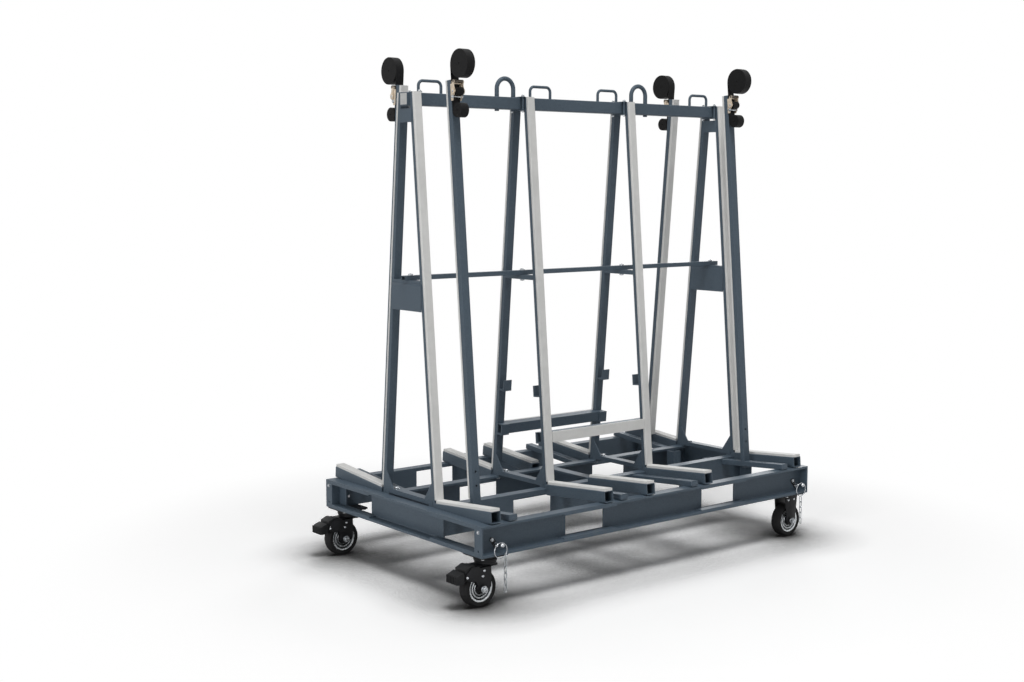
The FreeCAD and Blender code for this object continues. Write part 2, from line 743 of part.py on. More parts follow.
# Swivel casters: fork with head, axle and pedal pin
swivel_shares = ((0.05, None), (0.05, 1.4), (-0.22, 0.78), (-0.5, 0.68), (-0.78, 0.78), (-0.94, 1.12),
                 (-1.56, 1.6), (-1.56, 1.87), (-0.95, None))
swivel_top = "head_z - crown_plate"
swivel_crown = fuse(
    box("wheel_radius * 1.28", "fork_outside * 2", "crown_plate", "-wheel_radius * 0.78", "-fork_outside",
        swivel_top),
    rod("head_radius", "head_tall", "0", "0", "head_z"))
pedal_x = "-wheel_radius * 1.46"
pedal_z = "wheel_radius * 1.725"
swivel_base = fork(swivel_shares, swivel_top, "-caster_trail", swivel_crown)
swivel = cut(swivel_base, rod("pedal_pin", "fork_outside * 4", pedal_x, "-fork_outside * 2", pedal_z, "y"))
pedal_rod = rod("pedal_pin", "fork_outside * 2 + rivet_tall * 2", pedal_x, "-fork_outside - rivet_tall",
                pedal_z, "y")
rivets = []
for ax, az in ((-0.39, 1.93), (-0.49, 1.66)):
    rivets.append(rod("rivet_radius", "rivet_tall", "wheel_radius * %g" % ax, "-fork_outside - rivet_tall",
                      "wheel_radius * %g" % az, "y"))
swivel_parts = [swivel, pedal_rod] + axle("-caster_trail") + both(rivets)
pedal_shares = ((-0.875, 2.33), (-1.225, 2.31), (-1.875, 2), ("tip", 1.85), ("tip", 1.45), (-1.975, 1.45),
                (-1.825, 1.7), (-1.4, 1.575), (-1.25, 1.775), (-0.875, 2.1))
pedal_corners = [("-pedal_reach" if a == "tip" else "wheel_radius * %g" % a, "wheel_radius * %g" % b)
                 for a, b in pedal_shares]
pedal_arm = standing(pedal_corners, "pedal_half * 2", "0", "pedal_half")
pedal_tip = box("pedal_reach - wheel_radius * 1.8", "pedal_tip_half * 2", "wheel_radius * 0.4",
                "-pedal_reach",
                "-pedal_tip_half", "wheel_radius * 1.45")
pedal = cut(fuse(pedal_arm, pedal_tip),
            rod("pedal_pin + run_gap", "pedal_tip_half * 4", pedal_x, "-pedal_tip_half * 2", pedal_z, "y"))
for name, spread in (("front", False), ("rear", True)):
    for label, pieces in (("swivel_fork_" + name, swivel_parts), ("brake_pedal_" + name, [pedal])):
        placed = [copy(p, "-caster_x", "-caster_y") for p in pieces]
        node(label, [flip(p, "y") for p in placed] if spread else placed)

# Wheels
tyre_block = rod("wheel_radius", "tyre_width", "0", "-tyre_width / 2", "0", "y")
tyre = cut(soften(tyre_block, "tyre_round", lambda e: e.Curve.TypeId == "Part::GeomCircle"),
           rod("rim_radius + seat_gap", "tyre_width * 2", "0", "-tyre_width", "0", "y"))
rim = cut(
    fuse(cut(rod("rim_radius", "rim_width", "0", "-rim_width / 2", "0", "y"),
             rod("rim_radius - rim_lip", "rim_width * 2", "0", "-rim_width", "0", "y")),
         rod("rim_radius - rim_lip / 2", "rim_disc", "0", "-rim_disc / 2", "0", "y"),
         rod("rim_step", "rim_disc * 2", "0", "-rim_disc", "0", "y"),
         rod("hub_radius", "hub_width", "0", "-hub_width / 2", "0", "y")),
    rod("axle_radius + run_gap", "hub_width * 2", "0", "-hub_width", "0", "y"))
for name, wx in (("left", "-caster_x - caster_trail"), ("right", "caster_x")):
    for end in ("front", "rear"):
        for label, piece in (("tyre", tyre), ("rim", rim)):
            placed = copy(piece, wx, "-caster_y", "wheel_radius")
            node("%s_%s_%s" % (label, end, name), [flip(placed, "y")] if end == "rear" else [placed])

# Pull pins with ball head, ring and chain
neck_y = "-side_inner - channel_web"
lock_rod = rod("lock_radius", "lock_inside + lock_outside", "0", "-lock_outside", "0", "y")
lock_ball = add("Part::Sphere", {"Radius": "lock_ball"}, "0", "-lock_outside - lock_ball / 2", "0")
ring_y = "-lock_outside + lock_ball / 2"
ring_drop = "ring_radius - ring_rod - lock_radius - seat_gap"
ring = bend("ring_radius", "ring_rod", 360, "0", ring_y, "-(%s)" % ring_drop, TO_XZ)
half_span = "(link_length - link_width) / 2"
mean_half = "link_width / 2 - link_rod"
link = fuse(
    bend(mean_half, "link_rod", 180, "0", "0", half_span, TO_XZ),
    bend(mean_half, "link_rod", 180, "0", "0", "-(%s)" % half_span, Rotation(Vector(1, 0, 0), -90)),
    rod("link_rod", "(%s) * 2" % half_span, mean_half, "0", "-(%s)" % half_span),
    rod("link_rod", "(%s) * 2" % half_span, "-(%s)" % mean_half, "0", "-(%s)" % half_span))
step = "link_length - link_rod * 4 + seat_gap * 2"
first = "-(%s) - ring_radius - (link_length / 2 - link_rod * 2) - seat_gap" % ring_drop
chain = []
for k in range(5):
    turn = Rotation(Vector(0, 0, 1), 90) if k % 2 == 0 else Rotation()
    chain.append(copy(link, "0", ring_y, "%s + ring_rod - link_rod * 2 - (%s) * %d" % (first, step, k), turn))
pull = [fuse(lock_rod, lock_ball), ring]
for end in ("front", "rear"):
    for name, wx in (("left", "-caster_x"), ("right", "caster_x")):
        pieces = pull + (chain if name == "right" else [])
        placed = [copy(p, wx + " + lock_shift", neck_y, "lock_z") for p in pieces]
        node("lock_pin_%s_%s" % (end, name), [flip(p, "y") for p in placed] if end == "rear" else placed)

# Cross bars in the hooks
bar_low = "bar_rise"
bar_in = "leg_in + bar_gap"
bar_half_in = "inner_line - leg_width / 2 - bar_side_gap"
bar = fuse(
    cut(slab("(inner_line + leg_width / 2) * 2", "-(%s) - bar_depth" % bar_in, "-(%s)" % bar_in, bar_low,
             "bar_rise + bar_height"),
        slab("frame_length", "-(%s) - bar_depth + tube_wall" % bar_in, "-(%s) - tube_wall" % bar_in,
             "bar_rise + tube_wall", "bar_rise + bar_height - tube_wall")),
    slab("(%s) * 2" % bar_half_in, "-(%s)" % bar_in, "-pad_thick", bar_low, "bar_rise + bar_height"))
bar_pad = slab("(%s) * 2" % bar_half_in, "-pad_thick", "0", bar_low, "bar_rise + bar_height")
for label, piece in (("cross_bar", bar), ("cross_bar_pad", bar_pad)):
    placed = lean(piece)
    node(label + "_front", [placed])
    node(label + "_rear", [flip(placed, "y")])


# Straps: bands wound in half turns, drawn sideways as (outward, up)
def arc_points(centre, radius, begin, sweep):
    spots = []
    for part in (0, 1, 2):
        angle = math.radians(begin + sweep * part / 2)
        spots.append((centre[0] + radius * math.cos(angle), centre[1] + radius * math.sin(angle)))
    return spots


def winding(left, level, radius, turns, downwards):
    """Half-turn arcs of a roll entered at its inner-left side, as (centre, radius, begin, sweep)."""
    pitch = val("strap_pitch")
    sweep = 180 if downwards else -180
    arcs = []
    for turn in range(turns):
        wide = radius - pitch * turn
        arcs.append(((left + pitch * turn + wide, level), wide, 180, sweep))
        narrow = wide - pitch / 2
        arcs.append(((left + pitch * turn + wide + pitch / 2, level), narrow, 0, sweep))
    return arcs


def band(path):
    """Closed outline of a band that follows lines and arcs, as a solid."""
    half = val("strap_thick") / 2
    sides = ([], [])
    for k, way in ((0, 1), (1, -1)):
        for piece in path:
            if piece[0] == "line":
                (x0, y0), (x1, y1) = piece[1:]
                size = math.hypot(x1 - x0, y1 - y0)
                ox = -(y1 - y0) / size * half * way
                oy = (x1 - x0) / size * half * way
                sides[k].append([(x0 + ox, y0 + oy), (x1 + ox, y1 + oy)])
            else:
                centre, radius, begin, sweep = piece[1:]
                shift = -half * way if sweep > 0 else half * way
                sides[k].append(arc_points(centre, radius + shift, begin, sweep))
    rim_line = sides[0] + [[sides[0][-1][-1], sides[1][-1][-1]]]
    rim_line += [list(reversed(s)) for s in reversed(sides[1])] + [[sides[1][0][0], sides[0][0][0]]]
    width = val("strap_width")
    edges = []
    for run in rim_line:
        spots = [Vector(-width / 2, -n, up) for n, up in run]
        edges.append(Part.LineSegment(*spots).toShape() if len(spots) == 2 else Part.Arc(*spots).toShape())
    return Part.Face(Part.Wire(edges)).extrude(Vector(width, 0, 0))


def turned(arcs):
    """The same arcs walked from their far end."""
    return [(c, r, b + s, -s) for c, r, b, s in reversed(arcs)]


line_n = val("strap_line")
roll_t = val("post_rise") + val("roll_rise")
spool_t = val("spool_t")
small_t = val("post_rise") - val("small_roll_drop")
pitch_now = val("strap_pitch")
core = val("spool_radius") + val("strap_thick")
big_turns = int((val("roll_radius") - core) / pitch_now)
big_turns = min(big_turns, 22)
small_turns = min(int((val("small_roll_radius") - core) / pitch_now), 10)
spool_turns = int((val("spool_roll_radius") - core) / pitch_now)
upper = [("arc",) + a for a in turned(winding(line_n, spool_t, val("spool_roll_radius"), spool_turns, True))]
upper.append(("line", (line_n, spool_t), (line_n, roll_t)))
upper += [("arc",) + a for a in winding(line_n, roll_t, val("roll_radius"), big_turns, False)]
lower = [("line", (line_n, val("post_rise") - val("lower_start_drop")), (line_n, small_t))]
lower += [("arc",) + a for a in winding(line_n, small_t, val("small_roll_radius"), small_turns, True)]
strap_pieces = []
for path in (upper, lower):
    piece = doc.addObject("Part::Feature", "strap")
    piece.Shape = band(path)
    strap_pieces.append(piece)


def least_gap(arcs):
    """Least clear distance between one turn of a roll and the next, measured on points."""
    spots = []
    for index, (centre, radius, begin, sweep) in enumerate(arcs):
        for step_no in range(36):
            angle = math.radians(begin + sweep * step_no / 36)
            spots.append((index, centre[0] + radius * math.cos(angle), centre[1] + radius * math.sin(angle)))
    least = None
    for i, x0, y0 in spots:
        for j, x1, y1 in spots:
            if j - i >= 2:
                d = math.hypot(x1 - x0, y1 - y0)
                least = d if least is None or d < least else least
    return least - val("strap_thick")


for title, radius, turns in (("large roll", val("roll_radius"), big_turns),
                             ("small roll", val("small_roll_radius"), small_turns),
                             ("spool", val("spool_roll_radius"), spool_turns)):
    print(title, "turns", turns, "least gap", round(least_gap(winding(0, 0, radius, turns, True)), 3))

# Posts with tongues, pads, ratchets and handles
post_tube = cut(
    soften(slab("leg_width", "post_face", "post_back", "-rail_top", "post_rise"), "tube_corner", runs("z")),
    slab("leg_width - tube_wall * 2", "post_face + tube_wall", "post_back - tube_wall",
         "-rail_top + tube_wall",
         "post_rise - tube_wall"),
    rod("post_hole", "post_depth", "0", "-post_back - post_depth / 2", "post_hole_rise", "y"),
    rod("post_hole", "post_depth", "0", "-post_back - post_depth / 2", "post_hole_rise * 2", "y"))
tongues = [slab("tongue_width", "slot_first + slot_pitch * %d - tongue_thick / 2" % k,
                "slot_first + slot_pitch * %d + tongue_thick / 2" % k, "-rail_top - tongue_drop", "-rail_top")
           for k in (4, 5)]
post = fuse(post_tube, *tongues)
post_pad = soften(slab("leg_width", "post_gap", "post_face", "post_pad_start", "post_rise"), "pad_round",
                  lambda e: runs("z")(e) and e.CenterOfMass.y > -val("post_gap") - val("pad_round"))
ratchet_top = "post_rise - ratchet_top_drop"
ratchet_low = "post_rise - ratchet_top_drop - ratchet_tall"
cheek_n = "post_back + ratchet_plate"
cheek = cut(
    box("ratchet_plate", "ratchet_reach", "ratchet_tall", "ratchet_half - ratchet_plate",
        "-(%s) - ratchet_reach" % cheek_n, ratchet_low),
    rod("ratchet_waist", "ratchet_plate * 3", "ratchet_half - ratchet_plate * 2",
        "-(%s) - ratchet_reach - ratchet_waist_out" % cheek_n, ratchet_low + " + ratchet_tall / 2", "x"),
    rod("pivot_radius", "ratchet_plate * 3", "ratchet_half - ratchet_plate * 2", "-spool_n", "spool_t", "x"),
    rod("anchor_radius", "ratchet_plate * 3", "ratchet_half - ratchet_plate * 2", "-(post_back + anchor_out)",
        "post_rise - anchor_drop", "x"))
back = slab("ratchet_half * 2", "post_back", cheek_n, ratchet_low, ratchet_top)
pivot_half = "ratchet_half + handle_gap + handle_wall * 2"
spool = fuse(
    rod("pivot_radius", "(%s) * 2" % pivot_half, "-(%s)" % pivot_half, "-spool_n", "spool_t", "x"),
    rod("spool_radius", "(ratchet_half - ratchet_plate) * 2", "-ratchet_half + ratchet_plate", "-spool_n",
        "spool_t", "x"))
anchor = fuse(
    rod("anchor_radius", "ratchet_half * 2", "-ratchet_half", "-(post_back + anchor_out)",
        "post_rise - anchor_drop",
        "x"),
    hexagon("small_head", "small_head_tall", "-ratchet_half - small_head_tall", "-(post_back + anchor_out)",
            "post_rise - anchor_drop", "x"),
    hexagon("small_head", "small_head_tall", "ratchet_half", "-(post_back + anchor_out)",
            "post_rise - anchor_drop",
            "x"))
ratchet = [fuse(back, cheek, flip(cheek, "x")), spool, anchor]
arm_x = "ratchet_half + handle_gap"
arm = cut(
    fuse(box("handle_wall", "handle_half * 2", "handle_rise", arm_x,
             "-spool_n - handle_out / 2 - handle_half",
             "spool_t"),
         rod("handle_half", "handle_wall", arm_x, "-spool_n - handle_out / 2", "spool_t", "x")),
    rod("pivot_radius + run_gap", "handle_wall * 3", "%s - handle_wall" % arm_x, "-spool_n", "spool_t", "x"))
grip_half = "ratchet_half + handle_gap + handle_wall"
handle = fuse(arm, flip(arm, "x"),
              rod("handle_grip", "(%s) * 2" % grip_half, "-(%s)" % grip_half, "-spool_n - handle_out",
                  "spool_t + handle_rise", "x"))
post_sets = (("post", [post]), ("post_pad", [post_pad]), ("ratchet", ratchet), ("ratchet_handle", [handle]),
             ("strap", strap_pieces))
for name, x in (("left", rail_lines[0]), ("right", rail_lines[3])):
    for label, pieces in post_sets:
        placed = [lean(p, x) for p in pieces]
        node("%s_front_%s" % (label, name), placed)
        node("%s_rear_%s" % (label, name), [flip(p, "y") for p in placed])

# Rebuild, test and write every sub-part
doc.recompute()
faults = []
for obj in doc.Objects:
    if "Invalid" in obj.State or "Error" in obj.State:
        faults.append("%s %s" % (obj.Label, obj.State))
os.makedirs("parts", exist_ok=True)
for obj in nodes:
    shape = Part.makeCompound(obj.Shape.Solids)
    if obj.Shape.isNull() or not obj.Shape.isValid() or not obj.Shape.Solids:
        faults.append("%s shape" % obj.Label)
        continue
    shape.exportStep(os.path.join("parts", obj.Label + ".step"))
whole = Part.makeCompound([obj.Shape for obj in nodes]).BoundBox
print("sub-parts", len(nodes), "faults", faults)
print("box", [round(v, 1) for v in (whole.XMin, whole.XMax, whole.YMin, whole.YMax, whole.ZMin, whole.ZMax)])
if faults:
    raise SystemExit("faults in the model")
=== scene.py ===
import math

import bpy
from mathutils import Matrix, Vector
from mathutils.kdtree import KDTree


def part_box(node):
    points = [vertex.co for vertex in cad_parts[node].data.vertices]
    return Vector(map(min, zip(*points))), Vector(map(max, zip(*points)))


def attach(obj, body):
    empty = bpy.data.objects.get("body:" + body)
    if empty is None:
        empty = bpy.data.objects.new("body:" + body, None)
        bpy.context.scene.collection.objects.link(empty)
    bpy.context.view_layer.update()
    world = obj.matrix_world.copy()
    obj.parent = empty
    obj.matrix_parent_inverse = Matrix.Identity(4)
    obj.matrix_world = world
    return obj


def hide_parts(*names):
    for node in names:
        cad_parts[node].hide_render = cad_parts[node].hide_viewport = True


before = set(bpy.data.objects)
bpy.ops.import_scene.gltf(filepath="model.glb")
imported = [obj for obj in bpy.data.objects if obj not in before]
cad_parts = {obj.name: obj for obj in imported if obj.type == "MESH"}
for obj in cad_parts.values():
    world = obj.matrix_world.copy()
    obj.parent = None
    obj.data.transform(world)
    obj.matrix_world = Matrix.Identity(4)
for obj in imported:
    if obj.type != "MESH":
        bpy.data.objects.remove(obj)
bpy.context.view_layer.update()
MM = 0.001
ENDS = ("front", "rear")
CORNERS = [(end, hand) for end in ENDS for hand in ("left", "right")]

# The trolley's own sizes in millimetres, its middle between the A-frames
SHIFT = 46.5
LEAN = math.radians(4.9)
DECK = 347
SLAB_LINE = 210
SIDE_INNER = 550
SUPPORT_LOW = 62
SLAB_Z = DECK + (SUPPORT_LOW - (SIDE_INNER - SLAB_LINE) * math.sin(LEAN)) / math.cos(LEAN)
CASTER_X = 927
CASTER_Y = 527
TRAIL = 40
WHEEL = 80
OUTER_LINE = 925
INNER_LINE = 308.33
CLAMP_OFFSET = 28
RAIL_OFFSET = 90
FRAME_LINES = (-OUTER_LINE, -INNER_LINE, INNER_LINE, OUTER_LINE)
CLAMP_LINES = (CLAMP_OFFSET - OUTER_LINE, -INNER_LINE - CLAMP_OFFSET, INNER_LINE - CLAMP_OFFSET,
               OUTER_LINE - CLAMP_OFFSET)
RAIL_LINES = (RAIL_OFFSET - OUTER_LINE, RAIL_OFFSET - INNER_LINE, INNER_LINE - RAIL_OFFSET,
              OUTER_LINE - RAIL_OFFSET)
POST_X = {"left": RAIL_LINES[0], "right": RAIL_LINES[-1]}
STRAP_WIDE = 40
STRAP_THICK = 2.15
STRAP_PITCH = 2.25
STRAP_OUT = 146.5


# Colours are written as sRGB hex and turned to linear here
def colour(text):
    parts = [int(text[i:i + 2], 16) / 255 for i in (1, 3, 5)]
    return tuple(p / 12.92 if p <= 0.04045 else ((p + 0.055) / 1.055) ** 2.4 for p in parts) + (1.0,)


def add(tree, kind, links=(), values=(), stops=(), **settings):
    """One shader node with its settings, plain values, colour stops and the links into it."""
    made = tree.nodes.new(kind)
    for name, value in settings.items():
        setattr(made, name, value)
    for name, value in dict(values).items():
        made.inputs[name].default_value = value
    for stop, (spot, text) in zip(made.color_ramp.elements if stops else (), stops):
        stop.position = spot
        stop.color = colour(text)
    for name, (source, output) in dict(links).items():
        tree.links.new(source.outputs[output], made.inputs[name])
    return made


def start(name, **values):
    """A new material: its tree, its shader with plain values, and the piece's own place in millimetres."""
    made = bpy.data.materials.new(name)
    made.use_nodes = True
    tree = made.node_tree
    tree.nodes.clear()
    shader = add(tree, "ShaderNodeBsdfPrincipled", values={k.replace("_", " "): v for k, v in values.items()})
    add(tree, "ShaderNodeOutputMaterial", {"Surface": (shader, "BSDF")})
    place = add(tree, "ShaderNodeTexCoord")
    mm = add(tree, "ShaderNodeMapping", {"Vector": (place, "Object")}, {"Scale": (1000, 1000, 1000)})
    return made, tree, shader, mm


def wire(tree, shader, **sources):
    """Links into the shader, one output for each named socket."""
    for name, (source, output) in sources.items():
        tree.links.new(source.outputs[output], shader.inputs[name.replace("_", " ")])


# Powder-coated steel: sprayed and baked, so a fine orange-peel grain and lighter specks, with a painted
# highlight that makes the edges paler
PEEL_SIZE = 3.125
COAT_DRIFT = 167


def powder_coat():
    made, tree, shader, mm = start("blue_grey_powder_coat", IOR=1.5, Specular_IOR_Level=0.3)
    grain = add(tree, "ShaderNodeTexNoise", {"Vector": (mm, "Vector")},
                {"Scale": 1 / PEEL_SIZE, "Detail": 3.0, "Roughness": 0.7})
    drift = add(tree, "ShaderNodeTexNoise", {"Vector": (mm, "Vector")},
                {"Scale": 1 / COAT_DRIFT, "Detail": 2.0})
    tone = add(tree, "ShaderNodeValToRGB", {"Fac": (grain, "Fac")},
               stops=((0.34, "#43505c"), (0.68, "#566470")))
    shade = add(tree, "ShaderNodeMapRange", {"Value": (drift, "Fac")}, {"To Min": 0.9, "To Max": 1.1})
    coat = add(tree, "ShaderNodeMix", {6: (tone, "Color"), 7: (shade, "Result")}, {0: 1.0},
               data_type="RGBA", blend_type="MULTIPLY")
    rounded = add(tree, "ShaderNodeBevel", values={"Radius": 1.6 * MM}, samples=4)
    shape = add(tree, "ShaderNodeNewGeometry")
    turn = add(tree, "ShaderNodeVectorMath", {0: (rounded, "Normal"), 1: (shape, "Normal")},
               operation="DOT_PRODUCT")
    # Painted highlight: the colour turns paler along edges, where the rounded normal leans away from the face
    edge_highlight = add(tree, "ShaderNodeMapRange", {"Value": (turn, "Value")},
              {"From Min": 0.99, "From Max": 0.86, "To Min": 0.0, "To Max": 0.3})
    highlighted_coat = add(tree, "ShaderNodeMix", {0: (edge_highlight, "Result"), 6: (coat, 2)}, {7: colour("#8d979f")},
               data_type="RGBA")
    peel = add(tree, "ShaderNodeBump", {"Height": (grain, "Fac"), "Normal": (rounded, "Normal")},
               {"Strength": 0.2, "Distance": 0.6 * MM})
    gloss = add(tree, "ShaderNodeMapRange", {"Value": (grain, "Fac")}, {"To Min": 0.4, "To Max": 0.6})
    wire(tree, shader, Base_Color=(highlighted_coat, 2), Normal=(peel, "Normal"), Roughness=(gloss, "Result"))
    return made


# Extruded rubber strip: matt pale grey with a fine grain, dust and handling marks
RUBBER_GRAIN = 2
HANDLING_MARK = 83.3


def pad_rubber():
    made, tree, shader, mm = start("pale_grey_rubber_strip", IOR=1.5, Specular_IOR_Level=0.35)
    grain = add(tree, "ShaderNodeTexNoise", {"Vector": (mm, "Vector")},
                {"Scale": 1 / RUBBER_GRAIN, "Detail": 4.0, "Roughness": 0.65})
    marks = add(tree, "ShaderNodeTexNoise", {"Vector": (mm, "Vector")},
                {"Scale": 1 / HANDLING_MARK, "Detail": 5.0, "Roughness": 0.6, "Distortion": 0.6})
    tone = add(tree, "ShaderNodeValToRGB", {"Fac": (marks, "Fac")},
               stops=((0.3, "#dbdbd9"), (0.62, "#e4e4e2")))
    fleck = add(tree, "ShaderNodeMapRange", {"Value": (grain, "Fac")}, {"To Min": 0.93, "To Max": 1.05})
    both = add(tree, "ShaderNodeMix", {6: (tone, "Color"), 7: (fleck, "Result")}, {0: 1.0},
               data_type="RGBA", blend_type="MULTIPLY")
    rounded = add(tree, "ShaderNodeBevel", values={"Radius": 1.2 * MM}, samples=4)
    skin = add(tree, "ShaderNodeBump", {"Height": (grain, "Fac"), "Normal": (rounded, "Normal")},
               {"Strength": 0.16, "Distance": 0.5 * MM})
    rough = add(tree, "ShaderNodeMapRange", {"Value": (marks, "Fac")}, {"To Min": 0.6, "To Max": 0.8})
    wire(tree, shader, Base_Color=(both, 2), Normal=(skin, "Normal"), Roughness=(rough, "Result"))
    return made


# Plated steel: a thin bright metal skin, softly mottled, with fine level scratches that catch the light.
# The scratches are given as marks in a millimetre along each axis
PLATE_MOTTLE = 9.09
SCRATCH_MARKS = (0.15, 0.15, 2.2)


def plated(name, dark, light, rough_low, rough_high, metal=1.0):
    made, tree, shader, mm = start(name, Metallic=metal)
    patch = add(tree, "ShaderNodeTexNoise", {"Vector": (mm, "Vector")},
                {"Scale": 1 / PLATE_MOTTLE, "Detail": 5.0, "Roughness": 0.6, "Distortion": 0.4})
    tone = add(tree, "ShaderNodeValToRGB", {"Fac": (patch, "Fac")}, stops=((0.32, dark), (0.68, light)))
    drawn_out = add(tree, "ShaderNodeMapping", {"Vector": (mm, "Vector")}, {"Scale": SCRATCH_MARKS})
    scratch = add(tree, "ShaderNodeTexNoise", {"Vector": (drawn_out, "Vector")},
                  {"Scale": 1.0, "Detail": 3.0})
    rounded = add(tree, "ShaderNodeBevel", values={"Radius": 0.6 * MM}, samples=4)
    cut = add(tree, "ShaderNodeBump", {"Height": (scratch, "Fac"), "Normal": (rounded, "Normal")},
              {"Strength": 0.12, "Distance": 0.2 * MM})
    rough = add(tree, "ShaderNodeMapRange", {"Value": (patch, "Fac")},
                {"To Min": rough_low, "To Max": rough_high})
    wire(tree, shader, Base_Color=(tone, "Color"), Normal=(cut, "Normal"), Roughness=(rough, "Result"))
    return made


# Pressed rim: the same plating, with painted shade in the grooves by the depth in millimetres that the mesh
# carries
GROOVE_SHADE_FROM = 2
GROOVE_SHADE_FULL = 10


def groove_shaded_rim():
    made = plated("zinc_plated_pressing", "#b0b4b7", "#d2d5d7", 0.2, 0.34)
    tree = made.node_tree
    shader = [node for node in tree.nodes if node.type == "BSDF_PRINCIPLED"][0]
    bright = shader.inputs["Base Color"].links[0].from_socket
    depth = add(tree, "ShaderNodeAttribute", attribute_name="press_depth")
    # Painted shade: the deeper a point lies in the pressing, the darker its colour
    groove_shade = add(tree, "ShaderNodeMapRange", {"Value": (depth, "Fac")},
                {"From Min": GROOVE_SHADE_FROM, "From Max": GROOVE_SHADE_FULL, "To Min": 0.0, "To Max": 0.85})
    mixed = add(tree, "ShaderNodeMix", {0: (groove_shade, "Result"), 6: (bright.node, bright.name)},
                {7: colour("#3c3f42")}, data_type="RGBA")
    wire(tree, shader, Base_Color=(mixed, 2))
    return made


# Moulded plastic or rubber, and dipped black paint: one plain colour with a slightly paler bloom,
# grained by the mould or the bath
BLOOM_SIZE = 50


def moulded(name, dark, light, grit, depth, rough_low, rough_high):
    made, tree, shader, mm = start(name, IOR=1.5, Specular_IOR_Level=0.22)
    grain = add(tree, "ShaderNodeTexNoise", {"Vector": (mm, "Vector")},
                {"Scale": 1 / grit, "Detail": 4.0, "Roughness": 0.65})
    bloom = add(tree, "ShaderNodeTexNoise", {"Vector": (mm, "Vector")},
                {"Scale": 1 / BLOOM_SIZE, "Detail": 4.0, "Roughness": 0.6})
    tone = add(tree, "ShaderNodeValToRGB", {"Fac": (bloom, "Fac")}, stops=((0.3, dark), (0.7, light)))
    rounded = add(tree, "ShaderNodeBevel", values={"Radius": 1.0 * MM}, samples=4)
    skin = add(tree, "ShaderNodeBump", {"Height": (grain, "Fac"), "Normal": (rounded, "Normal")},
               {"Strength": 0.25, "Distance": depth * MM})
    rough = add(tree, "ShaderNodeMapRange", {"Value": (grain, "Fac")},
                {"To Min": rough_low, "To Max": rough_high})
    wire(tree, shader, Base_Color=(tone, "Color"), Normal=(skin, "Normal"), Roughness=(rough, "Result"))
    return made


# Woven polyester webbing: black yarn in ribs along the band, crossed by the weft, dull, with its edges
# painted darker as shade on the sides of the rolls.
# The ribs are drawn twice as coarse as the real 1.2 mm yarn so that they show. At a scale of one,
# a wave texture repeats every WAVE_REPEAT
WAVE_REPEAT = math.tau / 20
YARN_SPACING = 2.4166
WEFT_SPACING = 3.1416
SHADED_EDGE_IN = 0.6
SHADED_EDGE_OUT = 0.1


def webbing():
    made, tree, shader, _ = start("black_polyester_webbing", Sheen_Weight=0.01, Sheen_Roughness=0.5, IOR=1.45,
                                  Specular_IOR_Level=0.16)
    along = add(tree, "ShaderNodeUVMap", uv_map="band_mm")
    ribs = add(tree, "ShaderNodeTexWave", {"Vector": (along, "UV")},
               {"Scale": WAVE_REPEAT / YARN_SPACING, "Distortion": 0.3, "Detail": 1.0}, bands_direction="X")
    weft = add(tree, "ShaderNodeTexWave", {"Vector": (along, "UV")},
               {"Scale": WAVE_REPEAT / WEFT_SPACING, "Distortion": 0.6, "Detail": 1.0}, bands_direction="Y")
    cloth = add(tree, "ShaderNodeMath", {0: (ribs, "Fac"), 1: (weft, "Fac")}, operation="MULTIPLY")
    tone = add(tree, "ShaderNodeValToRGB", {"Fac": (cloth, "Value")},
               stops=((0.1, "#0d0d0e"), (0.9, "#1f1f21")))
    across = add(tree, "ShaderNodeSeparateXYZ", {"Vector": (along, "UV")})
    outward = add(tree, "ShaderNodeMath", {0: (across, "X")}, operation="ABSOLUTE")
    # Painted shade: the band darkens towards both edges, which form the flat sides of a roll
    edge = add(tree, "ShaderNodeMapRange", {"Value": (outward, "Value")},
               {"From Min": STRAP_WIDE / 2 - SHADED_EDGE_IN, "From Max": STRAP_WIDE / 2 - SHADED_EDGE_OUT,
                "To Max": 0.8})
    side_shaded = add(tree, "ShaderNodeMix", {0: (edge, "Result"), 6: (tone, "Color")}, {7: colour("#0e0e0f")},
                data_type="RGBA")
    lift = add(tree, "ShaderNodeBump", {"Height": (cloth, "Value")},
               {"Strength": 0.5, "Distance": 0.5 * MM})
    rough = add(tree, "ShaderNodeMapRange", {"Value": (cloth, "Value")}, {"To Min": 0.48, "To Max": 0.7})
    wire(tree, shader, Base_Color=(side_shaded, 2), Normal=(lift, "Normal"), Roughness=(rough, "Result"))
    return made


COAT = powder_coat()
PAD = pad_rubber()
PLUG = moulded("moulded_grey_plug", "#bfc0bf", "#cdcecd", 1.5, 0.3, 0.5, 0.65)
ZINC = plated("bright_zinc_plate", "#989ca0", "#c8cbce", 0.18, 0.34)
RIM_ZINC = groove_shaded_rim()
YELLOW_ZINC = plated("yellow_chromate_zinc", "#cfbfa9", "#ded0bd", 0.36, 0.5, 0.35)
GRIP = plated("bronze_grey_handle_tube", "#4f4840", "#6d645a", 0.4, 0.55, 0.3)
CHAIN_STEEL = plated("dull_chain_steel", "#8a8e92", "#bcc0c3", 0.24, 0.38)
WEBBING = webbing()
BLACK_COAT = moulded("black_electro_coat", "#101113", "#1b1c1f", 1.2, 0.2, 0.38, 0.55)
PEDAL_PLASTIC = moulded("black_moulded_nylon", "#121314", "#1c1d1f", 1.6, 0.4, 0.45, 0.65)
TYRE_RUBBER = moulded("black_solid_rubber", "#0f0f10", "#1c1c1d", 1.4, 0.5, 0.6, 0.8)

# Finishes of the CAD nodes, told by their names
for name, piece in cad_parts.items():
    finish = COAT
    if "_pad" in name:
        finish = PAD
    elif name.startswith("lock_pin"):
        finish = ZINC
    elif name == "beam_plugs":
        finish = PLUG
    piece.data.materials.clear()
    piece.data.materials.append(finish)


